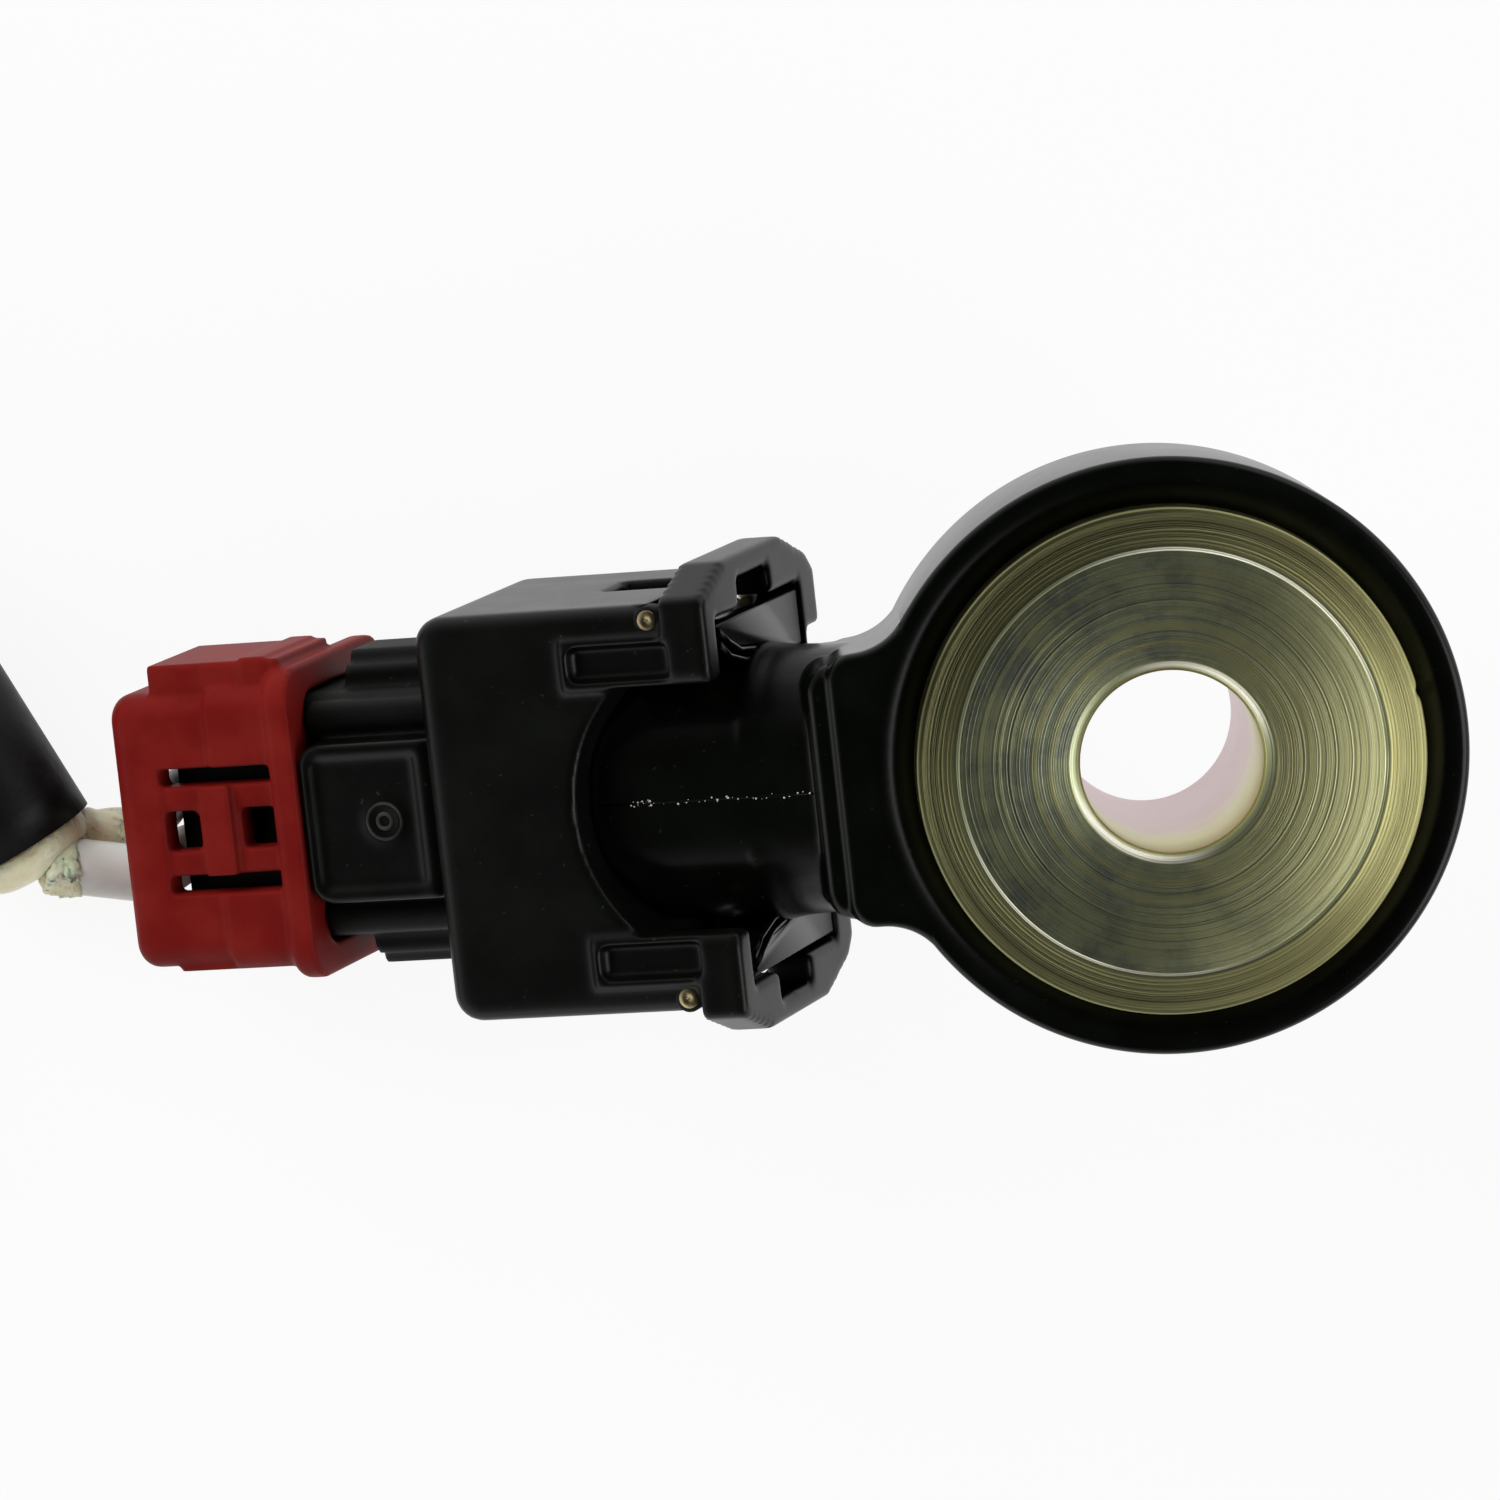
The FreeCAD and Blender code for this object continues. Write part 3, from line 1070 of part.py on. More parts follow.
def far_housing():
    half = FAR_WIDTH / 2
    tall = FAR_HEIGHT / 2
    body = rounded_bar(FAR_START, FAR_END, half, -tall, tall, FAR_ROUND)
    flange = rounded_bar(FAR_START, FAR_START + FAR_FLANGE, half + FAR_FLANGE_STEP, -tall,
                         tall + FAR_FLANGE_STEP, FAR_ROUND)
    arm_low = tall + FAR_LATCH_GAP
    arm = box(FAR_END - FAR_LATCH_LENGTH, FAR_END, -FAR_LATCH_WIDTH / 2, FAR_LATCH_WIDTH / 2, arm_low,
              arm_low + FAR_LATCH_THICKNESS)
    foot = box(FAR_END - FAR_LATCH_THICKNESS * 2, FAR_END, -FAR_LATCH_WIDTH / 2, FAR_LATCH_WIDTH / 2, 0,
               arm_low + FAR_LATCH_THICKNESS)
    body = body.fuse([flange, arm, foot])
    seal_end = FAR_START + FAR_SEAL_LENGTH + SEAL_END_GAP
    body = body.cut(rounded_bar(FAR_START - PAST, seal_end, half - FAR_ROUND, FAR_ROUND - tall,
                                tall - FAR_ROUND, FAR_SEAL_ROUND))
    for side in SIDES.values():
        middle = side * FAR_PITCH / 2
        wide = TERMINAL_WIDTH / 2 + TERMINAL_GAP
        tall_box = TERMINAL_HEIGHT / 2 + TERMINAL_GAP
        box_end = FAR_END - FAR_MOUTH
        body = body.cut(box(FAR_START, box_end, middle - wide, middle + wide, -tall_box, tall_box))
        body = body.cut(cylinder(wire_radius(side) + CAVITY_BORE_GAP, Vector(FAR_START, middle, 0),
                                 Vector(FAR_CRIMP, middle, 0)))
        body = body.cut(box(box_end, FAR_END + PAST, middle - PIN_WIDTH / 2 - PIN_ENTRY_GAP,
                            middle + PIN_WIDTH / 2 + PIN_ENTRY_GAP, -PIN_THICKNESS / 2 - PIN_ENTRY_GAP,
                            PIN_THICKNESS / 2 + PIN_ENTRY_GAP))
    return far_place(largest(body))


def far_seal():
    width = FAR_WIDTH - 2 * FAR_ROUND
    height = FAR_HEIGHT - 2 * FAR_ROUND
    return far_place(mat_seal(FAR_START, FAR_SEAL_LENGTH, width, height, 0, FAR_SEAL_ROUND, FAR_PITCH))


def build():
    nodes = {}
    nodes["base_sleeve"] = base_sleeve()
    nodes["lower_insulator"] = ring(STACK_RADIUS, STACK_BORE, STACK_TOP, INSULATOR_THICKNESS)
    nodes["lower_electrode"] = electrode(LOWER_ELECTRODE_TOP, SIDES["signal"])
    nodes["piezo_ring"] = ring(STACK_RADIUS - MOULD_GAP, STACK_BORE, PIEZO_TOP, PIEZO_THICKNESS)
    nodes["upper_electrode"] = electrode(UPPER_ELECTRODE_TOP, SIDES["ground"])
    nodes["upper_insulator"] = ring(STACK_RADIUS, STACK_BORE, UPPER_INSULATOR_TOP, INSULATOR_THICKNESS)
    nodes["seismic_mass"] = ring(STACK_RADIUS - MOULD_GAP, STACK_BORE, MASS_TOP, MASS_THICKNESS)
    nodes["disc_spring"] = disc_spring()
    nodes["clamp_nut"] = clamp_nut()
    nodes["signal_pin"] = contact_pin(LOWER_ELECTRODE_TOP, SIDES["signal"])
    nodes["ground_pin"] = contact_pin(UPPER_ELECTRODE_TOP, SIDES["ground"])
    nodes["shunt_resistor"] = shunt_resistor()
    cast_in = ("lower_electrode", "upper_electrode", "signal_pin", "ground_pin", "shunt_resistor")
    nodes["sensor_housing"] = sensor_housing([nodes[name] for name in cast_in])
    nodes["plug_housing"] = plug_housing()
    nodes["interface_seal"] = interface_seal()
    nodes["lock_spring"] = lock_spring()
    nodes["wire_seal"] = wire_seal()
    nodes["rear_holder"] = rear_holder()
    for name, side in SIDES.items():
        nodes["socket_terminal_" + name] = socket_terminal(side)
        nodes["wire_" + name] = tube(wire_route(side), 2 * wire_radius(side), "wire_" + name)
    nodes["sheath_gum"] = gum([nodes["wire_signal"], nodes["wire_ground"]])
    coil = sheath_coil()
    nodes["sheath_lead"] = sheath_lead(coil)
    nodes["sheath_coil"] = coil
    nodes["sheath_tail"] = sheath_tail(coil)
    nodes["far_housing"] = far_housing()
    nodes["far_seal"] = far_seal()
    for name, side in SIDES.items():
        nodes["far_wire_" + name] = far_wire(side)
        nodes["far_terminal_" + name] = far_terminal(side)
    return nodes


def main():
    os.makedirs("parts", exist_ok=True)
    for name, shape in build().items():
        solids = shape.Solids
        if len(solids) != 1 or not shape.isValid():
            print(name, "has", len(solids), "solids, valid", shape.isValid())
        solids[0].exportStep(os.path.join("parts", name + ".step"))
        corners = shape.BoundBox
        print(name, round(solids[0].Volume, 1), [round(value, 2) for value in
              (corners.XMin, corners.XMax, corners.YMin, corners.YMax, corners.ZMin, corners.ZMax)])


if __name__ == "__main__":
    main()
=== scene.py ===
"""Looks of an engine knock sensor with its mated plug, red rear cap and sheathed lead."""

import json
import logging
import math
from collections.abc import Iterator
from contextlib import contextmanager
from dataclasses import dataclass
from enum import Enum

import bmesh
import bpy
from mathutils import Matrix, Vector, noise


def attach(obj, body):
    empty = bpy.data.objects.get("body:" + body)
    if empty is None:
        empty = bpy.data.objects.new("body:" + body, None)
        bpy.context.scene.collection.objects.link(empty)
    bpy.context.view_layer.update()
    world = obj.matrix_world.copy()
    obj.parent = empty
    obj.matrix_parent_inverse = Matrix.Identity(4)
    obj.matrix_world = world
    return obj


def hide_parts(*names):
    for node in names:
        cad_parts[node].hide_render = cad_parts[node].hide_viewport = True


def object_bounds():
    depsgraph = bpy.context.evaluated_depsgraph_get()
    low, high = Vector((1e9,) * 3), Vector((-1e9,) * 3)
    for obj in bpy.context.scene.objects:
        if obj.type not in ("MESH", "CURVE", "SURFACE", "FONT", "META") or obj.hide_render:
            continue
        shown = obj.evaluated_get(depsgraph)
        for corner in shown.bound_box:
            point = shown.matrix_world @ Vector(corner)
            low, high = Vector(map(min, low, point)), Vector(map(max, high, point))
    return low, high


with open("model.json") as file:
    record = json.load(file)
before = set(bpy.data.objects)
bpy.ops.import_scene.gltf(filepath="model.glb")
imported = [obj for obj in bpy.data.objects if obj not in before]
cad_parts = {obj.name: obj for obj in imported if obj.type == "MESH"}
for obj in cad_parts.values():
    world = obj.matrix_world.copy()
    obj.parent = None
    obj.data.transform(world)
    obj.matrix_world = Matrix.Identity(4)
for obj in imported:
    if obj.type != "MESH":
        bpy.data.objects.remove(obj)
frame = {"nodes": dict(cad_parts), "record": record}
CAD_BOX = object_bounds()

LOG = logging.getLogger("knock_sensor")
MM = 0.001
BODY = "root"
MERGE_DISTANCE = 0.0005
AIM = (-0.02, 0.0, -0.01)
SHEATH_MOUTH = (-53.4, -0.5, -20.5)
LEAD_HEADING = 115.0
SEEN_RAYS = ("Is Camera Ray", "Is Glossy Ray", "Is Transmission Ray")

Flat = tuple[float, float]
Spot = tuple[float, float, float]
Colour = tuple[float, float, float]
# Scale, detail and roughness of a cloudy pattern.
Cloud = tuple[float, float, float]
Settings = dict[str, object]
Inputs = dict[object, object]


class Axis(Enum):
    """Directions that a pattern can follow."""

    X = 0
    Y = 1
    Z = 2


class Sock:
    """A shader socket that adds its Math nodes when it stands in an expression."""

    def __init__(self, tree: "ShaderTree", socket: bpy.types.NodeSocket) -> None:
        """Keep the tree that new nodes go into and the socket that this value comes from."""
        self.tree = tree
        self.socket = socket

    def _math(self, operation: str, left: object, right: object) -> "Sock":
        """Add one Math node and return its value."""
        return self.tree.out("ShaderNodeMath", 0, {"operation": operation}, {0: left, 1: right})

    def __add__(self, other: object) -> "Sock":
        """This value plus another."""
        return self._math("ADD", self, other)

    def __radd__(self, other: object) -> "Sock":
        """Another value plus this one."""
        return self._math("ADD", other, self)

    def __sub__(self, other: object) -> "Sock":
        """This value less another."""
        return self._math("SUBTRACT", self, other)

    def __rsub__(self, other: object) -> "Sock":
        """Another value less this one."""
        return self._math("SUBTRACT", other, self)

    def __mul__(self, other: object) -> "Sock":
        """This value times another."""
        return self._math("MULTIPLY", self, other)

    def __rmul__(self, other: object) -> "Sock":
        """Another value times this one."""
        return self._math("MULTIPLY", other, self)

    def __truediv__(self, other: object) -> "Sock":
        """This value over another."""
        return self._math("DIVIDE", self, other)

    def __rtruediv__(self, other: object) -> "Sock":
        """Another value over this one."""
        return self._math("DIVIDE", other, self)

    def __pow__(self, other: object) -> "Sock":
        """This value to a power."""
        return self._math("POWER", self, other)

    def __rpow__(self, other: object) -> "Sock":
        """Another value to this power."""
        return self._math("POWER", other, self)

    def most(self, other: object) -> "Sock":
        """The greater of this value and another."""
        return self._math("MAXIMUM", self, other)

    def band(self, low: float, high: float) -> "Sock":
        """Smooth step from 0 at the low value to 1 at the high one."""
        return self.tree.out("ShaderNodeMapRange", 0, {"interpolation_type": "SMOOTHSTEP"},
                             {0: self, 1: low, 2: high, 3: 0.0, 4: 1.0})

    def span(self, low: float, high: float) -> "Sock":
        """A value from 0 to 1 spread between two numbers."""
        return self.tree.out("ShaderNodeMapRange", 0, {}, {0: self, 1: 0.0, 2: 1.0, 3: low, 4: high})


class NodeTree:
    """Node tree whose nodes all come from one method."""

    def __init__(self, tree: bpy.types.NodeTree) -> None:
        """Keep where new nodes and links go."""
        self.nodes = tree.nodes
        self.links = tree.links

    def node(self, kind: str, settings: Settings, inputs: Inputs) -> bpy.types.Node:
        """Add a node.

        Args:
            kind: the node's type.
            settings: its own settings, which are set first.
            inputs: a number, colour or link for each socket, by name or place.

        Returns:
            The new node.
        """
        made = self.nodes.new(kind)
        for name, value in settings.items():
            setattr(made, name, value)
        for key, value in inputs.items():
            target = made.inputs[key]
            if isinstance(value, Sock):
                self.links.new(value.socket, target)
            elif isinstance(value, bpy.types.NodeSocket):
                self.links.new(value, target)
            elif target.type == "RGBA":
                target.default_value = (*value, 1.0)
            else:
                target.default_value = value
        return made


class ShaderTree(NodeTree):
    """Node tree of one material or world."""

    def __init__(self, name: str, world: bpy.types.World | None = None) -> None:
        """Clear the tree and make its output.

        Args:
            name: the name of the material that is made if there is no world.
            world: the world whose light the tree is.
        """
        self.owner = world or bpy.data.materials.new(name)
        self.owner.use_nodes = True
        super().__init__(self.owner.node_tree)
        self.nodes.clear()
        self.output = self.nodes.new("ShaderNodeOutputWorld" if world else "ShaderNodeOutputMaterial")

    def out(self, kind: str, output: object, settings: Settings, inputs: Inputs) -> Sock:
        """Add a node and return one of its outputs."""
        return Sock(self, self.node(kind, settings, inputs).outputs[output])

    def split(self, vector: object) -> tuple[Sock, Sock, Sock]:
        """The three parts of a vector."""
        parts = self.node("ShaderNodeSeparateXYZ", {}, {0: vector})
        return Sock(self, parts.outputs[0]), Sock(self, parts.outputs[1]), Sock(self, parts.outputs[2])

    def mix(self, factor: object, first: object, second: object) -> Sock:
        """Blend of two colours."""
        return self.out("ShaderNodeMix", 2, {"data_type": "RGBA"}, {0: factor, 6: first, 7: second})

    def place(self) -> Sock:
        """Object coordinates in millimetres."""
        coordinates = self.out("ShaderNodeTexCoord", "Object", {}, {})
        return self.out("ShaderNodeVectorMath", 0, {"operation": "SCALE"}, {0: coordinates, "Scale": 1 / MM})

    def noise(self, place: Sock, scale: float, detail: float, roughness: float) -> Sock:
        """Cloudy pattern from 0 to 1 over a place."""
        return self.out("ShaderNodeTexNoise", 0, {},
                        {"Vector": place, "Scale": scale, "Detail": detail, "Roughness": roughness})

    def bump(self, height: Sock, millimetres: float) -> Sock:
        """Normal from a height that goes from 0 to some millimetres."""
        return self.out("ShaderNodeBump", 0, {},
                        {"Strength": 1.0, "Distance": millimetres * MM, "Height": height})

    def close(self, shader: bpy.types.Node) -> bpy.types.Material | bpy.types.World:
        """Close the tree with its last shader and return what it belongs to."""
        self.links.new(shader.outputs[0], self.output.inputs[0])
        return self.owner

    def finish(self, inputs: Inputs) -> bpy.types.Material:
        """Close the tree with a Principled shader and return the material."""
        return self.close(self.node("ShaderNodeBsdfPrincipled", {}, inputs))


@dataclass(frozen=True)
class Connector:
    """Axis that the barrel, the plug and the cap share: x runs away from the sensor."""

    mouth_x: float = -17.9
    mouth_z: float = -8.3
    tilt: float = 21.5

    def matrix(self) -> Matrix:
        """Placement of the connector's frame in the sensor's frame, in millimetres."""
        turn = Matrix.Rotation(math.radians(-self.tilt), 4, "Y") @ Matrix.Rotation(math.pi, 4, "Z")
        return Matrix.Translation((self.mouth_x, 0, self.mouth_z)) @ turn

    def run(self, x: Sock, z: Sock) -> Sock:
        """Distance along the axis, in millimetres from its mouth.

        Args:
            x: a place's x, in millimetres.
            z: its z.

        Returns:
            The distance.
        """
        tilt = math.radians(self.tilt)
        start = self.mouth_x * math.cos(tilt) + self.mouth_z * math.sin(tilt)
        return start - x * math.cos(tilt) - z * math.sin(tilt)


CONNECTOR = Connector()


@dataclass(frozen=True)
class TurnedSteel:
    """Zinc plated turned steel: rings about the bore, yellow passivation, pink film in the bore, with painted
    sheen, painted shade and painted glints.

    A band is where a smooth step starts and ends, and a share is how strongly a mark shows.
    """

    name: str = "turned_steel"
    # white is the colour of the painted glint arcs.
    white: Colour = (0.95, 0.93, 0.78)
    sheen_plate: Colour = (0.66, 0.66, 0.34)
    olive: Colour = (0.37, 0.40, 0.24)
    slate: Colour = (0.18, 0.205, 0.18)
    cut: Colour = (0.11, 0.12, 0.08)
    straw: Colour = (0.50, 0.44, 0.16)
    light_rim: Colour = (0.37, 0.355, 0.165)
    dark_rim: Colour = (0.07, 0.08, 0.045)
    blush: Colour = (0.60, 0.42, 0.42)
    honey: Colour = (0.62, 0.60, 0.28)
    bore_radius: float = 4.2
    face_radius: float = 9.7
    face_edge: float = 0.05
    step_radius: float = 9.86
    step_edge: float = 0.04
    # Band and strength of the painted shade at the foot of the step.
    step_shade_band: Flat = (0.1, 0.2)
    step_shade_share: float = 0.8
    lip_start: Flat = (0.1, 0.2)
    lip_end: Flat = (0.4, 0.5)
    film_start: Flat = (0.05, 0.15)
    ring_pitch: float = 0.42
    ring_detail: float = 3.0
    ring_roughness: float = 0.65
    fineness: float = 5.0
    drift: Cloud = (0.16, 2.0, 0.5)
    wander: float = 0.3
    fine_wander: float = 0.1
    patch: Cloud = (0.22, 4.0, 0.6)
    blotch: Cloud = (0.34, 5.0, 0.68)
    sheen_side: Flat = (0.97, -0.24)
    sheen_patch: float = 0.6
    sheen_band: Flat = (0.0, 1.3)
    stain_band: Flat = (0.4, 0.64)
    stain_share: float = 0.55
    stain_rings: float = 0.6
    straw_band: Flat = (0.45, 0.7)
    straw_share: float = 0.45
    cut_band: Flat = (0.56, 0.66)
    cut_share: float = 0.75
    rim_band: Flat = (0.35, 0.65)
    rim_share: float = 0.4
    rim_fine_band: Flat = (0.4, 0.56)
    rim_fine_share: float = 0.6
    rim_sheen: float = 0.2
    glint_side: Flat = (0.5, 0.866)
    glint_band: Flat = (0.25, 0.8)
    film_cloud: Cloud = (0.3, 3.0, 0.5)
    film_sway: float = 8.0
    film_band: Flat = (-6.0, 2.0)
    mouth_band: Flat = (-1.0, -0.4)
    mouth_share: float = 0.4
    gloss: Flat = (0.2, 0.38)
    patch_gloss: float = 0.1
    relief: float = 0.03
    crown: float = 0.02
    ring_depth: Flat = (0.4, 0.9)
    fine_depth: Flat = (0.5, 0.4)

    def material(self) -> bpy.types.Material:
        """Build the finish.

        Returns:
            The material.
        """
        tree = ShaderTree(self.name)
        place = tree.place()
        x, y, z = tree.split(place)
        radius = (x * x + y * y) ** 0.5
        drift = tree.noise(place, *self.drift)
        rings = self._rings(tree, radius + drift * self.wander, 1.0)
        fine = self._rings(tree, radius + drift * self.fine_wander, self.fineness)
        patch = tree.noise(place, *self.patch)
        # Painted sheen: the plate is painted lighter towards one side of the face, broken up by random
        # patches.
        side = (x * self.sheen_side[0] + y * self.sheen_side[1]) / radius
        sheen = (side + patch * self.sheen_patch).band(*self.sheen_band)
        outer = self._beyond(radius, self.step_radius, (0.0, self.step_edge))
        # Painted shade: a thin dark band at the foot of the step, where shade falls in its corner.
        step_shade = outer * (1 - self._beyond(radius, self.step_radius, self.step_shade_band))
        contact = self._contact(tree, tree.noise(place, *self.blotch), rings, fine, sheen)
        face = tree.mix(outer, contact, self._rim(tree, rings, fine, sheen, step_shade))
        # Painted highlight: white glint arcs on the crest of the step and the lip of the bore, set by
        # direction about the axis.
        crest = self._beyond(radius, self.face_radius, (0.0, self.face_edge)) * (1 - outer)
        lip = self._beyond(radius, self.bore_radius, self.lip_start)
        lip = lip * (1 - self._beyond(radius, self.bore_radius, self.lip_end))
        facing = (x * self.glint_side[0] + y * self.glint_side[1]) / radius
        glint = tree.mix((facing * facing).band(*self.glint_band), self.olive, self.white)
        edged = tree.mix(crest.most(lip), face, glint)
        shade = z + tree.noise(place, *self.film_cloud) * self.film_sway
        film = tree.mix(shade.band(*self.film_band), self.blush, self.honey)
        inside = 1 - self._beyond(radius, self.bore_radius, self.film_start)
        colour = tree.mix(inside * (1 - z.band(*self.mouth_band) * self.mouth_share), edged, film)
        depth = rings * (self.ring_depth[0] + outer * self.ring_depth[1])
        depth = depth + fine * (self.fine_depth[0] + outer * self.fine_depth[1])
        depth = depth - radius * (self.crown / self.relief)
        return tree.finish({"Base Color": colour, "Metallic": 1.0,
                            "Roughness": fine.span(*self.gloss) + patch * self.patch_gloss,
                            "Normal": tree.bump(depth, self.relief)})

    def _rings(self, tree: ShaderTree, radius: Sock, fineness: float) -> Sock:
        """Turning marks from 0 to 1 across the radius.

        Args:
            tree: the material's tree.
            radius: the distance from the axis.
            fineness: how much finer than the ring pitch they are.

        Returns:
            The marks.
        """
        return tree.out("ShaderNodeTexNoise", 0, {"noise_dimensions": "1D"},
                        {"W": radius, "Scale": fineness / self.ring_pitch, "Detail": self.ring_detail,
                         "Roughness": self.ring_roughness})

    @staticmethod
    def _beyond(radius: Sock, start: float, band: Flat) -> Sock:
        """Smooth step from 0 to 1 over a band outside some radius."""
        return radius.band(start + band[0], start + band[1])

    def _contact(self, tree: ShaderTree, blotch: Sock, rings: Sock, fine: Sock, sheen: Sock) -> Sock:
        """Colour of the contact face: plate with painted sheen towards one side, stains and turning marks.

        Args:
            tree: the material's tree.
            blotch: the pattern of the stains.
            rings: the coarse marks.
            fine: the fine marks.
            sheen: how strongly the painted sheen lights the plate, broken up by random patches.

        Returns:
            The colour.
        """
        # Painted sheen lightens the plate where it falls; the stains are kept out of it.
        plate = tree.mix(sheen, self.olive, self.sheen_plate)
        stain = blotch.band(*self.stain_band) * (1 - sheen) * (self.stain_share + fine * self.stain_rings)
        stained = tree.mix(stain, plate, self.slate)
        ringed = tree.mix(rings.band(*self.straw_band) * self.straw_share, stained, self.straw)
        return tree.mix(fine.band(*self.cut_band) * self.cut_share, ringed, self.cut)

    def _rim(self, tree: ShaderTree, rings: Sock, fine: Sock, sheen: Sock, step_shade: Sock) -> Sock:
        """Colour of the flange round the contact face, with painted sheen and a band of painted shade at the
        foot of the step.

        Args:
            tree: the material's tree.
            rings: the coarse marks.
            fine: the fine marks.
            sheen: how strongly the painted sheen lights the plate, broken up by random patches.
            step_shade: 1 in the band of painted shade and 0 elsewhere.

        Returns:
            The colour.
        """
        marks = rings.band(*self.rim_band) * self.rim_share
        marks = marks + fine.band(*self.rim_fine_band) * self.rim_fine_share
        rim = tree.mix(marks, self.dark_rim, self.light_rim)
        # Painted sheen tints the rim towards straw where the sheen falls.
        lit = tree.mix(sheen * self.rim_sheen, rim, self.straw)
        return tree.mix(step_shade * self.step_shade_share, lit, self.dark_rim)


@dataclass(frozen=True)
class Moulding:
    """Moulded plastic with a fine skin, faint flow clouds and a few specks of dust."""

    name: str
    colour: Colour
    cloud: Colour
    roughness: float
    spread: float
    grain: float
    grain_depth: float
    specular: float
    dust: float = 0.0
    dull_end: float = 0.0
    rear_start: Flat = (14.6, 15.4)
    rear_side: Flat = (14.0, 22.0)
    flow: Cloud = (0.35, 3.0, 0.55)
    flow_band: Flat = (0.3, 0.75)
    grain_detail: Flat = (2.0, 0.6)
    grain_gloss: float = 0.5
    specks: Cloud = (3.3, 1.0, 0.4)
    speck_band: Flat = (0.74, 0.8)
    speck_colour: Colour = (0.5, 0.5, 0.48)

    def material(self) -> bpy.types.Material:
        """Build the finish.

        Returns:
            The material.
        """
        tree = ShaderTree(self.name)
        place = tree.place()
        clouds = tree.noise(place, *self.flow)
        skin = tree.noise(place, self.grain, *self.grain_detail)
        colour = tree.mix(clouds.band(*self.flow_band), self.colour, self.cloud)
        if self.dust:
            specks = tree.noise(place, *self.specks).band(*self.speck_band)
            colour = tree.mix(specks * self.dust, colour, self.speck_colour)
        middle = (1 + self.grain_gloss) / 2
        roughness = self.roughness + (clouds + skin * self.grain_gloss - middle) * self.spread
        if self.dull_end:
            x, across, z = tree.split(place)
            rear = CONNECTOR.run(x, z).band(*self.rear_start)
            roughness = roughness + rear * (across * across).band(*self.rear_side) * self.dull_end
        return tree.finish({"Base Color": colour, "Roughness": roughness,
                            "Normal": tree.bump(skin, self.grain_depth),
                            "Specular IOR Level": self.specular})


@dataclass(frozen=True)
class DrawnMetal:
    """Drawn, rolled or machined metal with fine lines along one axis."""

    name: str
    colour: Colour
    tarnish: Colour
    roughness: float
    along: Axis = Axis.Z
    stretch: float = 0.15
    streaks: Cloud = (7.0, 2.0, 0.6)
    streak_gloss: float = 0.25
    streak_depth: float = 0.01
    patch: Cloud = (0.9, 3.0, 0.5)
    patch_band: Flat = (0.35, 0.7)

    def material(self) -> bpy.types.Material:
        """Build the finish.

        Returns:
            The material.
        """
        tree = ShaderTree(self.name)
        place = tree.place()
        stretch = tuple(self.stretch if axis is self.along else 1.0 for axis in Axis)
        lines = tree.out("ShaderNodeVectorMath", 0, {"operation": "MULTIPLY"}, {0: place, 1: stretch})
        streaks = tree.noise(lines, *self.streaks)
        patch = tree.noise(place, *self.patch)
        return tree.finish({"Base Color": tree.mix(patch.band(*self.patch_band), self.colour, self.tarnish),
                            "Metallic": 1.0,
                            "Roughness": self.roughness + (streaks - 0.5) * self.streak_gloss,
                            "Normal": tree.bump(streaks, self.streak_depth)})


@dataclass(frozen=True)
class SoftSkin:
    """Rubber, insulation, tape or gum: dull skin with smears and a little light under it."""

    name: str
    colour: Colour
    stain: Colour
    roughness: float
    lumps: float
    lump_depth: float
    glow: float = 0.0
    specular: float = 0.5
    smear: Cloud = (0.4, 4.0, 0.6)
    smear_band: Flat = (0.4, 0.7)
    lump_detail: Flat = (3.0, 0.55)
    lump_gloss: float = 0.2
    glow_depth: float = 1.5

    def material(self) -> bpy.types.Material:
        """Build the finish.

        Returns:
            The material.
        """
        tree = ShaderTree(self.name)
        place = tree.place()
        smear = tree.noise(place, *self.smear)
        lumps = tree.noise(place, self.lumps, *self.lump_detail)
        return tree.finish({"Base Color": tree.mix(smear.band(*self.smear_band), self.colour, self.stain),
                            "Roughness": self.roughness + (lumps - 0.5) * self.lump_gloss,
                            "Normal": tree.bump(lumps, self.lump_depth),
                            "Subsurface Weight": self.glow, "Subsurface Scale": self.glow_depth * MM,
                            "Specular IOR Level": self.specular})


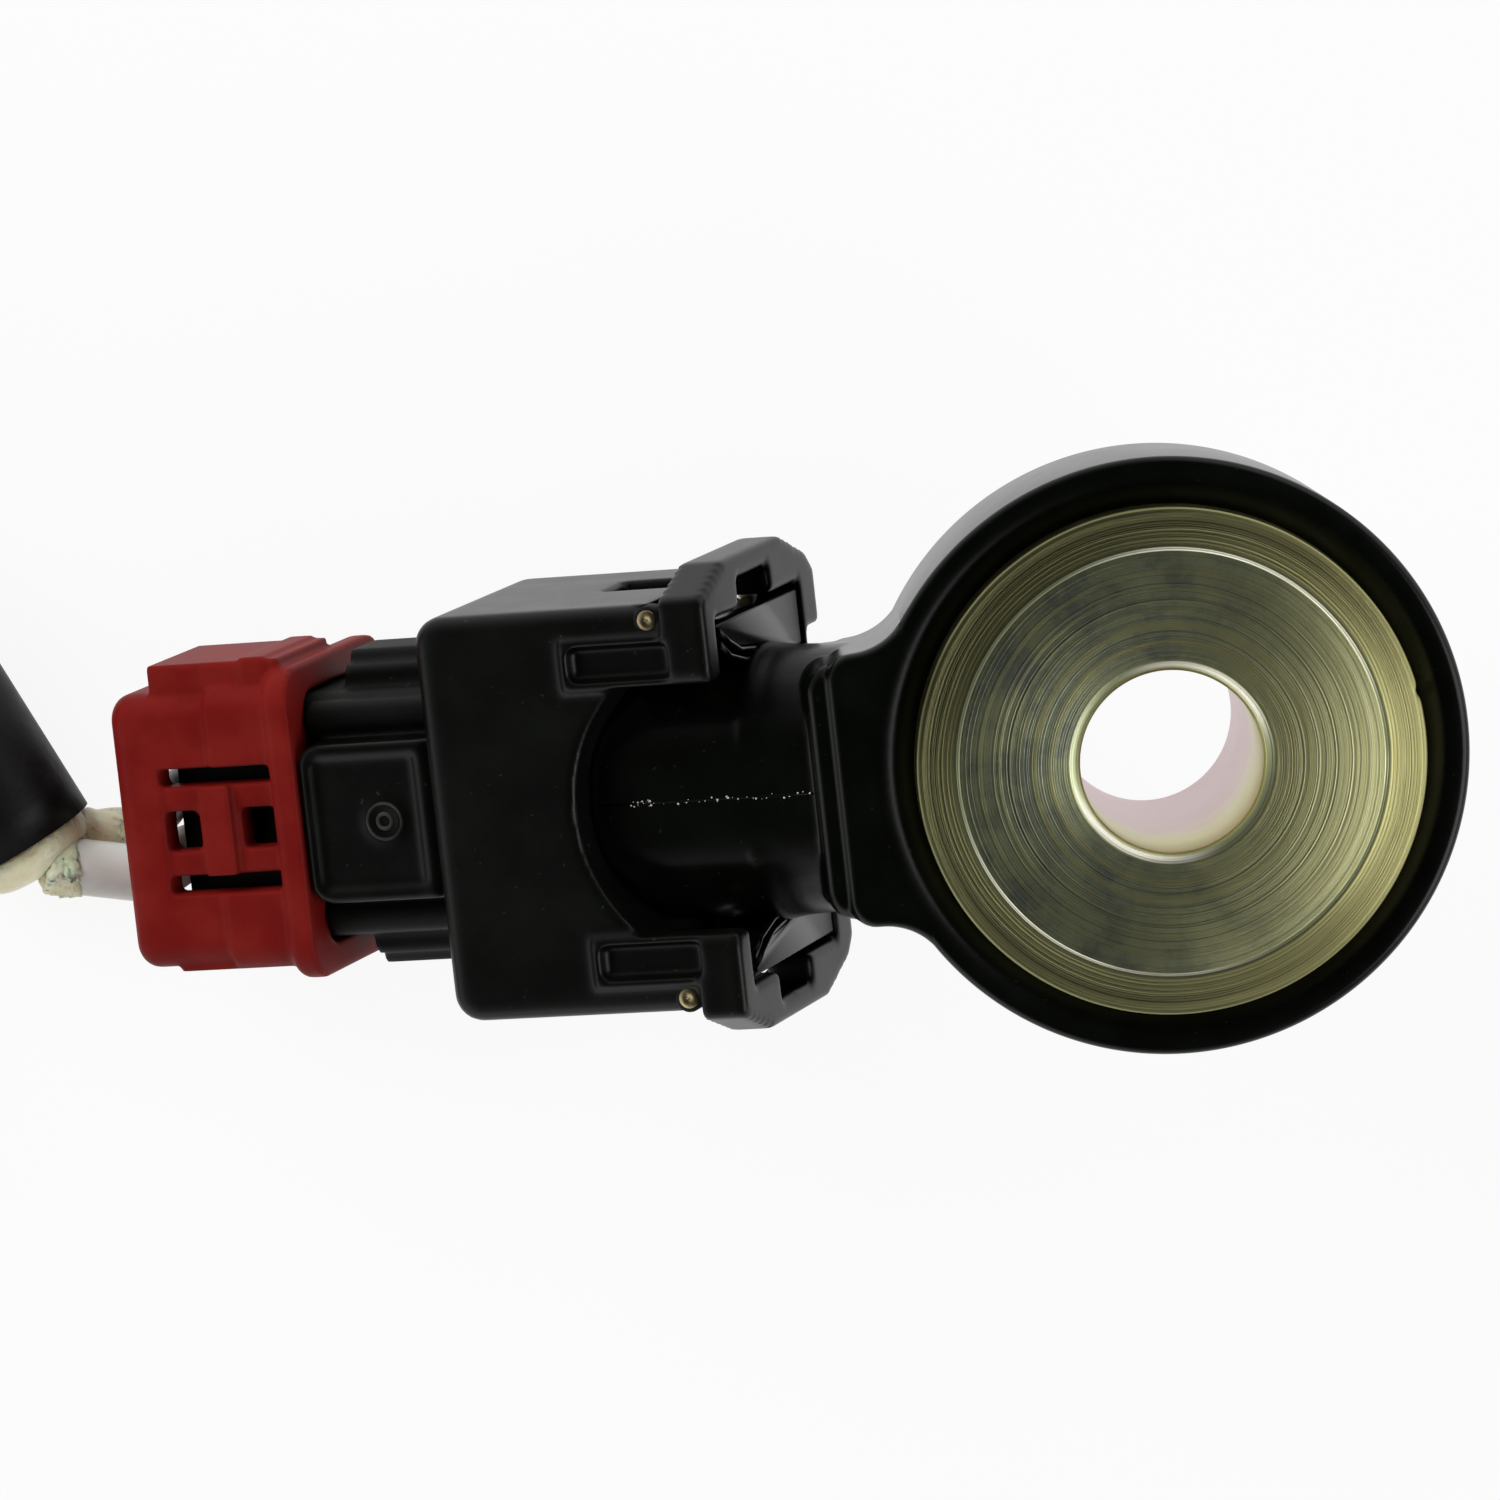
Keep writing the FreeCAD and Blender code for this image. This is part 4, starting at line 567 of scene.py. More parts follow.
@dataclass
class Shell:
    """Closed surface in millimetres: its points and the faces between them."""

    points: list[Vector]
    faces: list[tuple[int, ...]]

    @classmethod
    def stack(cls, loops: list[list[Vector]]) -> "Shell":
        """Skin over loops of equal length.

        Args:
            loops: the loops in order; the first and the last are closed by a face.

        Returns:
            The shell.
        """
        size = len(loops[0])
        points = [point for loop in loops for point in loop]
        faces: list[tuple[int, ...]] = [tuple(reversed(range(size)))]
        for row in range(len(loops) - 1):
            for column in range(size):
                first = row * size + column
                second = row * size + (column + 1) % size
                faces.append((first, second, second + size, first + size))
        faces.append(tuple(range(len(points) - size, len(points))))
        return cls(points, faces)

    @classmethod
    def lathe(cls, profile: list[Flat], segments: int) -> "Shell":
        """Closed profile of radius and height turned about Z.

        Args:
            profile: the corners of the section, each a radius and a height.
            segments: how many steps go round.

        Returns:
            The shell.
        """
        points = []
        faces = []
        size = len(profile)
        for step in range(segments):
            angle = 2 * math.pi * step / segments
            points += [Vector((radius * math.cos(angle), radius * math.sin(angle), height))
                       for radius, height in profile]
            for column in range(size):
                first = step * size + column
                second = step * size + (column + 1) % size
                turn = size * segments
                faces.append((first, second, (second + size) % turn, (first + size) % turn))
        return cls(points, faces)

    @classmethod
    def tube(cls, path: list[Vector], rings: list[tuple[int, float]], sides: int) -> "Shell":
        """Round tube along a path.

        Args:
            path: the points of the centre line.
            rings: for each loop, the number of its path point and its radius, in order.
            sides: how many points go round.

        Returns:
            The shell.
        """
        headings = [(path[min(index + 1, len(path) - 1)] - path[max(index - 1, 0)]).normalized()
                    for index in range(len(path))]
        up = Vector((0, 0, 1))
        loops = []
        for index, radius in rings:
            side = headings[index].cross(up).normalized()
            top = side.cross(headings[index])
            loops.append([path[index] + (side * math.cos(2 * math.pi * step / sides)
                                         + top * math.sin(2 * math.pi * step / sides)) * radius
                          for step in range(sides)])
        return cls.stack(loops)

    def moved(self, matrix: Matrix) -> "Shell":
        """The same shell somewhere else."""
        return Shell([matrix @ point for point in self.points], self.faces)


def arc(centre: Flat, radius: float, start: float, end: float, steps: int) -> list[Flat]:
    """Points along an arc.

    Args:
        centre: the arc's centre.
        radius: its radius.
        start: its first angle in degrees.
        end: its last angle in degrees.
        steps: how many pieces it has.

    Returns:
        The points, with both ends.
    """
    angles = [math.radians(start + (end - start) * step / steps) for step in range(steps + 1)]
    return [(centre[0] + radius * math.cos(angle), centre[1] + radius * math.sin(angle)) for angle in angles]


def rounded_outline(half_width: float, low: float, high: float, radius: float, steps: int) -> list[Flat]:
    """Rectangle with round corners, anticlockwise from its right side.

    Args:
        half_width: half of its width.
        low: its lower edge.
        high: its upper edge.
        radius: its corner radius.
        steps: pieces in each corner.

    Returns:
        The outline's points.
    """
    inner = half_width - radius
    top = high - radius
    foot = low + radius
    return (arc((inner, top), radius, 0, 90, steps) + arc((-inner, top), radius, 90, 180, steps)
            + arc((-inner, foot), radius, 180, 270, steps) + arc((inner, foot), radius, 270, 360, steps))


def upright(outline: list[Flat], x: float) -> list[Vector]:
    """Outline of y and z at one place along x."""
    return [Vector((x, y, z)) for y, z in outline]


def level(outline: list[Flat], height: float) -> list[Vector]:
    """Outline of x and y at one height."""
    return [Vector((x, y, height)) for x, y in outline]


def flat_direction(angle: float) -> Vector:
    """Flat direction at an angle in degrees."""
    return Vector((math.cos(math.radians(angle)), math.sin(math.radians(angle)), 0))


def add_object(name: str, data: bpy.types.ID) -> bpy.types.Object:
    """Put data into the scene as an object.

    Args:
        name: the object's name.
        data: its mesh, curve, camera or light.

    Returns:
        The object.
    """
    made = bpy.data.objects.new(name, data)
    bpy.context.scene.collection.objects.link(made)
    return made


@contextmanager
def editing(mesh: bpy.types.Mesh, source: bpy.types.Mesh | None = None) -> Iterator[bmesh.types.BMesh]:
    """Open a mesh for changes and write them back.

    Args:
        mesh: the mesh that is written.
        source: the mesh that is read, where it is another one.

    Yields:
        The open mesh.
    """
    builder = bmesh.new()
    builder.from_mesh(source or mesh)
    yield builder
    builder.to_mesh(mesh)
    builder.free()


def make_object(name: str, shells: list[Shell]) -> bpy.types.Object:
    """Object in the scene that holds some shells, still in millimetres.

    Args:
        name: the object's name.
        shells: the shells, which may run into each other.

    Returns:
        The object, with outward faces.
    """
    mesh = bpy.data.meshes.new(name)
    with editing(mesh) as builder:
        for shell in shells:
            corners = [builder.verts.new(point) for point in shell.points]
            for face in shell.faces:
                builder.faces.new([corners[index] for index in face])
        bmesh.ops.recalc_face_normals(builder, faces=builder.faces)
    return add_object(name, mesh)


def settle_modifiers(piece: bpy.types.Object) -> None:
    """Turn an object's modifiers into a plain mesh.

    Args:
        piece: the object.
    """
    depsgraph = bpy.context.evaluated_depsgraph_get()
    mesh = bpy.data.meshes.new_from_object(piece.evaluated_get(depsgraph))
    old = piece.data
    piece.modifiers.clear()
    piece.data = mesh
    bpy.data.meshes.remove(old)


def finish_piece(piece: bpy.types.Object, material: bpy.types.Material,
                 nodes: tuple[str, ...] = ()) -> None:
    """Bring a piece to metres, dress it and hand it to the frame.

    Args:
        piece: the object.
        material: its finish.
        nodes: the CAD nodes that it stands for.
    """
    piece.data.transform(Matrix.Scale(MM, 4))
    piece.data.shade_smooth()
    piece.data.materials.clear()
    piece.data.materials.append(material)
    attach(piece, BODY)
    if nodes:
        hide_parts(*nodes)
    LOG.info("%s: %d faces, stands for %s", piece.name, len(piece.data.polygons),
             ", ".join(nodes) or "nothing")


@dataclass(frozen=True)
class Refine:
    """Turns rough shells into one moulded skin with soft edges."""

    voxel: float
    passes: int
    factor: float = 0.5

    def run(self, piece: bpy.types.Object) -> None:
        """Remesh and smooth an object that is in millimetres.

        Args:
            piece: the object.
        """
        remesh = piece.modifiers.new("skin", "REMESH")
        remesh.mode = "VOXEL"
        remesh.voxel_size = self.voxel
        remesh.use_smooth_shade = True
        smooth = piece.modifiers.new("soft_edges", "SMOOTH")
        smooth.factor = self.factor
        smooth.iterations = self.passes
        settle_modifiers(piece)


def copy_node(node: str, into: Matrix) -> bpy.types.Object:
    """Merged copy of a CAD node in millimetres.

    Args:
        node: the node's name.
        into: the change of frame, in millimetres.

    Returns:
        The copy, which is in the scene.
    """
    mesh = bpy.data.meshes.new(node + "_skin")
    with editing(mesh, frame["nodes"][node].data) as builder:
        bmesh.ops.transform(builder, matrix=into @ Matrix.Scale(1 / MM, 4), verts=builder.verts)
        bmesh.ops.remove_doubles(builder, verts=builder.verts, dist=MERGE_DISTANCE)
    return add_object(node + "_skin", mesh)


def soften_node(node: str, refine: Refine, own_frame: Matrix, material: bpy.types.Material) -> None:
    """Make the stand-in for a moulded CAD node, with the soft edges of a moulding.

    Args:
        node: the node's name.
        refine: how fine the skin is.
        own_frame: the frame that the node's faces are square to.
        material: its finish.
    """
    piece = copy_node(node, own_frame.inverted())
    refine.run(piece)
    piece.data.transform(own_frame)
    finish_piece(piece, material, (node,))


class GeometryTree(NodeTree):
    """Geometry Nodes tree with named inputs that ends in Realize Instances and Set Material."""

    def __init__(self, name: str) -> None:
        """Make the empty tree.

        Args:
            name: the tree's name.
        """
        self.group = bpy.data.node_groups.new(name, "GeometryNodeTree")
        super().__init__(self.group)
        for way in ("INPUT", "OUTPUT"):
            self.group.interface.new_socket("Geometry", in_out=way, socket_type="NodeSocketGeometry")
        self.entry = self.nodes.new("NodeGroupInput")
        self.exit = self.nodes.new("NodeGroupOutput")
        self.values: dict[str, object] = {}

    def value(self, name: str, kind: str, value: object) -> bpy.types.NodeSocket:
        """Add a named input.

        Args:
            name: the input's name.
            kind: its socket's type.
            value: what the modifier sets it to.

        Returns:
            The socket to link from.
        """
        made = self.group.interface.new_socket(name, in_out="INPUT", socket_type=kind)
        self.values[made.identifier] = value
        return self.entry.outputs[name]

    def run(self, piece: bpy.types.Object, geometry: bpy.types.NodeSocket,
            material: bpy.types.Material) -> None:
        """Close the tree and turn an object into its result.

        Args:
            piece: the object that the tree works on.
            geometry: the last socket of the tree.
            material: the finish of the result.
        """
        real = self.node("GeometryNodeRealizeInstances", {}, {0: geometry})
        dressed = self.node("GeometryNodeSetMaterial", {}, {0: real.outputs[0], "Material": material})
        self.links.new(dressed.outputs[0], self.exit.inputs[0])
        modifier = piece.modifiers.new(self.group.name, "NODES")
        modifier.node_group = self.group
        for identifier, value in self.values.items():
            modifier[identifier] = value
        settle_modifiers(piece)


@dataclass
class SteelSleeve:
    """Turned steel sleeve with its flange, contact face and bolt bore."""

    bore: float = 4.2
    length: float = 18.0
    chamfer: float = 0.5
    chamfer_depth: float = 0.4
    sleeve: float = 6.3
    flange: float = 11.7
    thickness: float = 3.3
    contact: float = 9.85
    bevel: float = 0.12
    step: float = 0.22
    edge: float = 0.25
    crest: float = 0.04
    segments: int = 360
    nick_angle: float = 9.5
    nick_reach: float = 0.4
    nick_depth: float = 0.15

    def profile(self) -> list[Flat]:
        """Section of the sleeve, from the bore's front chamfer outwards and round.

        Returns:
            The section's corners, each a radius and a height.
        """
        low = -self.step
        mouth = self.bore + self.chamfer
        bevel = self.contact - self.bevel
        front = [(mouth, -self.crest * 0.2), (mouth + self.crest, 0.0), (bevel - self.crest, 0.0),
                 (bevel, -self.crest * 0.1), (bevel + self.crest, -self.crest),
                 (self.contact - self.crest, -self.bevel),
                 (self.contact, low + self.crest), (self.contact + self.crest, low)]
        rim = arc((self.flange - self.edge, low - self.edge), self.edge, 90, 0, 4)
        back = [(self.flange, -self.thickness + self.crest), (self.flange - self.crest, -self.thickness),
                (self.sleeve, -self.thickness), (self.sleeve, self.crest - self.length),
                (self.sleeve - self.crest * 2, -self.length), (mouth, -self.length),
                (self.bore, self.chamfer - self.length), (self.bore, -self.chamfer_depth - self.crest),
                (self.bore + self.crest * 0.4, -self.chamfer_depth)]
        return front + rim + back

    def build(self, material: bpy.types.Material) -> None:
        """Turn the sleeve with a Geometry Nodes lathe and nick its rim.

        Args:
            material: its finish.
        """
        mesh = bpy.data.meshes.new("turned_sleeve")
        profile = self.profile()
        middle = (self.bore + self.flange) / 2
        edges = [(index, (index + 1) % len(profile)) for index in range(len(profile))]
        mesh.from_pydata([(radius - middle, -height, 0.0) for radius, height in profile], edges, [])
        piece = add_object("turned_sleeve", mesh)
        tree = GeometryTree("lathe")
        segments = tree.value("Segments", "NodeSocketInt", self.segments)
        radius = tree.value("Path Radius", "NodeSocketFloat", middle)
        section = tree.node("GeometryNodeMeshToCurve", {}, {0: tree.entry.outputs[0]})
        path = tree.node("GeometryNodeCurvePrimitiveCircle", {}, {"Resolution": segments, "Radius": radius})
        turned = tree.node("GeometryNodeCurveToMesh", {},
                           {0: path.outputs[0], "Profile Curve": section.outputs[0]})
        tree.run(piece, turned.outputs[0], material)
        self._dent(piece.data)
        with editing(piece.data) as builder:
            bmesh.ops.recalc_face_normals(builder, faces=builder.faces)
        finish_piece(piece, material, ("base_sleeve",))

    def _dent(self, mesh: bpy.types.Mesh) -> None:
        """Press the small nick into the rim of the flange.

        Args:
            mesh: the sleeve's mesh, in millimetres.
        """
        angle = math.radians(self.nick_angle)
        spot = Vector((self.flange * math.cos(angle), self.flange * math.sin(angle), -self.step - self.edge))
        for vertex in mesh.vertices:
            share = max(0.0, 1 - (vertex.co - spot).length / self.nick_reach)
            vertex.co -= Vector((spot.x, spot.y, 0)).normalized() * self.nick_depth * share


@dataclass
class SensorMoulding:
    """Black moulding over the stack: round body, neck, collar, barrel, wings and nibs."""

    radius: float = 13.83
    front: float = -1.8
    wall: float = 9.4
    draft: float = 0.34
    front_round: float = 0.42
    back_round: float = 1.5
    boss: float = 10.3
    boss_height: float = 1.7
    boss_round: float = 0.8
    seat: float = 11.72
    seat_depth: float = 3.3
    room: float = 10.25
    room_depth: float = 10.65
    nut_room: float = 9.05
    nut_depth: float = 12.65
    sleeve: float = 6.32
    neck: float = 6.37
    reach: float = 15.24
    neck_overlap: float = 1.2
    fillet: float = 3.0
    corner: float = 1.2
    edge: float = 0.45
    collar: float = 0.96
    collar_inset: float = 0.45
    collar_bevel: float = 0.3
    collar_overlap: float = 1.0
    barrel_half: float = 6.2
    barrel_low: float = -5.2
    barrel_high: float = 4.2
    barrel_round: float = 4.55
    barrel_wall: float = 1.2
    barrel_lip: float = 0.25
    barrel_root: float = 4.0
    barrel_length: float = 12.0
    barrel_floor: float = 0.4
    barrel_steps: int = 16
    flare_drop: float = 0.02
    flare: tuple[Flat, ...] = ((-3.9, 0.02), (-2.2, 0.05), (-1.0, 0.12), (-0.3, 0.25), (0.1, 0.3))
    wing_start: float = 0.1
    wing_end: float = 2.1
    wing_low: float = -6.0
    wing: tuple[Flat, ...] = ((8.2, 5.2), (8.0, 5.0), (7.35, 3.9), (6.8, 2.4), (6.5, 0.0))
    side_overlap: float = 0.6
    nib_start: float = 3.5
    nib_flat: float = 0.65
    nib_end: float = 6.1
    nib_spread: float = 9.2
    nib_width: float = 2.4
    nib_lift: float = -1.1
    segments: int = 360
    overlap: float = 0.005
    bevel: float = 0.22
    lip: float = 0.11
    lips: tuple[tuple[Flat, ...], ...] = (((7.9, 4.95), (7.25, 3.85), (6.65, 2.4), (6.4, 0.5)),
                                          ((7.3, 5.0), (6.6, 3.9), (6.1, 2.0), (5.9, 0.0)))
    skin: Refine = Refine(0.137, 4)

    def ring(self) -> Shell:
        """Round body with the seat of the flange and the room of the stack.

        Returns:
            The shell.
        """
        back = self.front - self.wall
        low = back - self.back_round
        outer = self.radius - self.draft
        boss_low = low - self.boss_height
        profile = [(self.seat, self.front)]
        profile += arc((self.radius - self.front_round, self.front - self.front_round), self.front_round,
                       90, 0, 8)
        profile += arc((outer - self.back_round, back), self.back_round, 0, -90, 10)
        profile += [(self.boss, low)]
        profile += arc((self.boss - self.boss_round, boss_low + self.boss_round), self.boss_round, 0, -90, 8)
        profile += [(self.sleeve, boss_low), (self.sleeve, -self.nut_depth), (self.nut_room, -self.nut_depth),
                    (self.nut_room, -self.room_depth), (self.room, -self.room_depth),
                    (self.room, -self.seat_depth), (self.seat, -self.seat_depth)]
        return Shell.lathe(profile, self.segments)

    def neck_outline(self, inset: float) -> list[Flat]:
        """Outline of the neck at some distance inside its full size.

        Args:
            inset: the distance.

        Returns:
            The outline.
        """
        lift = self.neck + self.fillet
        run = math.sqrt((self.radius + self.fillet) ** 2 - lift ** 2)
        meet = math.degrees(math.atan2(lift, run))
        bend = self.fillet + inset
        half = self.neck - inset
        end = -self.reach + inset
        corner = self.corner - inset * 0.5
        upper = arc((-run, lift), bend, -meet, -90, 24)
        upper += arc((end + corner, half - corner), corner, 90, 180, 8)
        root = self.radius - self.neck_overlap
        inner = arc((0.0, 0.0), root, 180 + meet, 180 - meet, 24)
        return [(x, -y) for x, y in reversed(upper)] + inner + upper

    def neck_block(self) -> Shell:
        """Neck with hollow sides, the round body's draft and soft edges.

        Returns:
            The shell.
        """
        top = self.front - self.overlap
        foot = self.front - self.wall + self.overlap
        steps = self._edge_steps()
        loops = [level(self.neck_outline(inset), top - depth) for depth, inset in steps]
        loops += [level(self.neck_outline(inset + self.draft), foot + depth)
                  for depth, inset in reversed(steps)]
        return Shell.stack(loops)

    def _edge_steps(self) -> list[Flat]:
        """Depth and inset of each loop over a rounded edge."""
        turns = [math.radians(angle) for angle in (90, 72, 54, 36, 18, 0)]
        return [(self.edge * (1 - math.sin(turn)), self.edge * (1 - math.cos(turn))) for turn in turns]

    def barrel(self) -> Shell:
        """Oval cup round the pins.

        Returns:
            The shell, in the connector's frame.
        """
        lip = self.barrel_lip
        end = self.barrel_length
        outer = [(-self.barrel_root, 0.0), (end - lip, 0.0), (end, lip)]
        inner = [(end, self.barrel_wall - lip), (end - lip, self.barrel_wall),
                 (self.barrel_floor, self.barrel_wall)]
        return Shell.stack([upright(self._barrel_outline(inset), x) for x, inset in outer + inner])

    def root(self) -> Shell:
        """Root of the barrel, which flares towards the wings at its sides.

        Returns:
            The shell, in the connector's frame.
        """
        high = self.barrel_high - self.flare_drop
        loops = []
        for x, spread in self.flare:
            outline = rounded_outline(self.barrel_half + spread, self.barrel_low, high, self.barrel_round,
                                      self.barrel_steps)
            loops.append(upright(outline, x))
        return Shell.stack(loops)

    def _barrel_outline(self, inset: float) -> list[Flat]:
        """Outline of the barrel at some distance inside its full size."""
        return rounded_outline(self.barrel_half - inset, self.barrel_low + inset, self.barrel_high - inset,
                               self.barrel_round - inset, self.barrel_steps)

    def side_block(self, hand: int) -> list[Shell]:
        """Guide wing and lock nib on one side of the barrel.

        Args:
            hand: 1 or -1, the side.

        Returns:
            The two shells, in the connector's frame.
        """
        root = self.barrel_half - self.side_overlap
        corners = [(root, self.wing_low), (self.wing[0][0], self.wing_low), *self.wing,
                   (root, self.wing[-1][1])]
        outline = [(hand * y, z) for y, z in corners]
        wing = Shell.stack([upright(outline, x) for x in (self.wing_start, self.wing_end)])
        base = [(self.nib_start, hand * root), (self.nib_start, hand * self.nib_spread),
                (self.nib_start + self.nib_flat, hand * self.nib_spread), (self.nib_end, hand * root)]
        half = self.nib_width / 2
        nib = Shell.stack([level(base, height) for height in (self.nib_lift - half, self.nib_lift + half)])
        return [wing, nib]

    def collar_block(self) -> Shell:
        """Thin collar between the neck and the barrel.

        Returns:
            The shell.
        """
        foot = self.front - self.wall
        top = self.front - self.collar_inset
        bevel = self.collar_bevel
        half = self.neck - self.collar_inset
        near = self.collar_overlap - self.reach
        corner = self.corner
        loops = []
        for height, inset in ((foot, bevel), (foot + bevel, 0.0), (top - bevel, 0.0), (top, bevel)):
            middle = inset + corner - self.reach - self.collar
            outline = (arc((middle, half - inset - corner), corner, 90, 180, 8)
                       + arc((middle, corner + inset - half), corner, 180, 270, 8)
                       + [(near, inset - half), (near, half - inset)])
            loops.append(level(outline, height))
        return Shell.stack(loops)

    def build(self, material: bpy.types.Material) -> None:
        """Turn the round body, skin the neck and barrel, and bevel the wings and nibs.

        Args:
            material: its finish.
        """
        finish_piece(make_object("sensor_ring", [self.ring()]), material)
        shells = [self.neck_block(), self.collar_block()]
        shells += [shell.moved(CONNECTOR.matrix()) for shell in (self.barrel(), self.root())]
        stem = make_object("sensor_stem", shells)
        self.skin.run(stem)
        finish_piece(stem, material, ("sensor_housing",))
        for hand in (1, -1):
            self._add_lips(hand, material)
        guides = make_object("guides", self.side_block(1) + self.side_block(-1))
        bevel = guides.modifiers.new("edges", "BEVEL")
        bevel.width = self.bevel
        bevel.segments = 3
        bevel.harden_normals = True
        settle_modifiers(guides)
        guides.data.transform(CONNECTOR.matrix())
        finish_piece(guides, material)

    def _add_lips(self, hand: int, material: bpy.types.Material) -> None:
        """Fine rounded edges between one wing and the barrel.

        Args:
            hand: 1 or -1, the side.
            material: the moulding's finish.
        """
        shells = []
        for line in self.lips:
            path = [Vector((self.wing_start, hand * y, z)) for y, z in line]
            rings = [(index, self.lip) for index in range(len(path))]
            shells.append(Shell.tube(path, rings, 12))
        piece = make_object("wing_lips", shells)
        piece.data.transform(CONNECTOR.matrix())
        finish_piece(piece, material)


@dataclass
class BarrelFlash:
    """Parting line on the crest of the barrel, with its specks of flash."""

    route: tuple[Flat, ...] = ((-3.4, 4.17), (0.0, 4.17), (4.0, 4.17), (7.3, 4.17))
    width: float = 0.07
    runs: tuple[tuple[float, float, int], ...] = ((-3.3, 4.6, 34), (4.6, 5.5, 22))
    height: float = 4.2
    speck_size: float = 0.05
    spread: Spot = (0.14, 0.14, 0.03)
    growth: Flat = (0.35, 1.3)
    seed: int = 11

    def build(self, plastic: bpy.types.Material, pale: bpy.types.Material) -> None:
        """Lay the fine ridge and strew the specks along it.

        Args:
            plastic: the barrel's finish.
            pale: the finish of the torn specks.
        """
        matrix = CONNECTOR.matrix()
        path = [matrix @ Vector((x, 0, height)) for x, height in self.route]
        rings = [(index, self.width) for index in range(len(path))]
        ridge = make_object("barrel_seam", [Shell.tube(path, rings, 10)])
        finish_piece(ridge, plastic)
        for start, end, count in self.runs:
            ends = [matrix @ Vector((x, 0, self.height)) for x in (start, end)]
            self._strew(*ends, count, pale)

    def _strew(self, start: Vector, end: Vector, specks: int, pale: bpy.types.Material) -> None:
        """Strew specks between two places on the parting line.

        Args:
            start: the first place.
            end: the last place.
            specks: how many there are.
            pale: their finish.
        """
        piece = make_object("seam_flash", [])
        tree = GeometryTree("flash")
        near = tree.value("Start", "NodeSocketVector", start)
        far = tree.value("End", "NodeSocketVector", end)
        count = tree.value("Count", "NodeSocketInt", specks)
        size = tree.value("Size", "NodeSocketFloat", self.speck_size)
        seed = tree.value("Seed", "NodeSocketInt", self.seed + specks)
        line = tree.node("GeometryNodeMeshLine", {"mode": "END_POINTS"},
                         {"Start Location": near, "Offset": far, "Count": count})
        jitter = tree.node("FunctionNodeRandomValue", {"data_type": "FLOAT_VECTOR"},
                           {0: tuple(-way for way in self.spread), 1: self.spread, "Seed": seed})
        moved = tree.node("GeometryNodeSetPosition", {}, {0: line.outputs[0], "Offset": jitter.outputs[0]})
        grain = tree.node("GeometryNodeMeshIcoSphere", {}, {"Radius": size, "Subdivisions": 1})
        growth = tree.node("FunctionNodeRandomValue", {"data_type": "FLOAT"},
                           {2: self.growth[0], 3: self.growth[1], "Seed": seed})
        strewn = tree.node("GeometryNodeInstanceOnPoints", {},
                           {0: moved.outputs[0], "Instance": grain.outputs[0], "Scale": growth.outputs[1]})
        tree.run(piece, strewn.outputs[0], pale)
        finish_piece(piece, pale)


@dataclass
class Plug:
    """Black two way plug housing with its ring mark."""

    skin: Refine = Refine(0.197, 5)
    mark_x: float = 17.6
    mark_height: float = 5.0
    mark_radii: Flat = (0.95, 0.45)
    mark_width: float = 0.1
    wire_place: Flat = (2.95, 8.8)
    wire_level: float = 6.6
    wire_end: Flat = (0.5, 0.06)
    hole_shade: Flat = (0.66, 0.02)
    wire_edge: float = 0.06
    wire_height: float = 1.0
    axis_gap: float = 0.001

    def build(self, material: bpy.types.Material, scuffed: bpy.types.Material) -> None:
        """Soften the housing and raise the ring mark on its tongue.

        Args:
            material: its finish.
            scuffed: the finish of the ring mark.
        """
        soften_node("plug_housing", self.skin, CONNECTOR.matrix(), material)
        section = arc((0.0, 0.0), self.mark_width, 0, 330, 11)
        middle = Matrix.Translation((self.mark_x, 0, self.mark_height))
        rings = [Shell.lathe([(radius - self.mark_width + x, y) for x, y in section], 48).moved(middle)
                 for radius in self.mark_radii]
        mark = make_object("ring_mark", rings)
        mark.data.transform(CONNECTOR.matrix())
        finish_piece(mark, scuffed)

    def show_wire_ends(self, metal: bpy.types.Material, shade_finish: bpy.types.Material) -> None:
        """Bring the lock spring's two ends up in their holes beside the rails, each ringed by a near-black
        disc of painted shade for the hole.

        Args:
            metal: the spring's finish.
            shade_finish: the finish of the painted shade in the holes.
        """
        x, y = self.wire_place
        spots = [Matrix.Translation((x, hand * y, 0)) for hand in (1, -1)]
        # Painted shade: near-black discs round the wire ends stand for the shaded holes.
        for name, (radius, rise), finish, slot in (("hole_shade", self.hole_shade, shade_finish, "plug"),
                                                   ("wire_end", self.wire_end, metal, "spring")):
            top = self.wire_level + rise
            foot = top - self.wire_height
            profile = [(self.axis_gap, top), (radius - self.wire_edge, top), (radius, top - self.wire_edge),
                       (radius, foot), (self.axis_gap, foot)]
            piece = make_object(name, [Shell.lathe(profile, 32).moved(spot) for spot in spots])
            piece.data.transform(CONNECTOR.matrix())
            finish_piece(piece, finish)


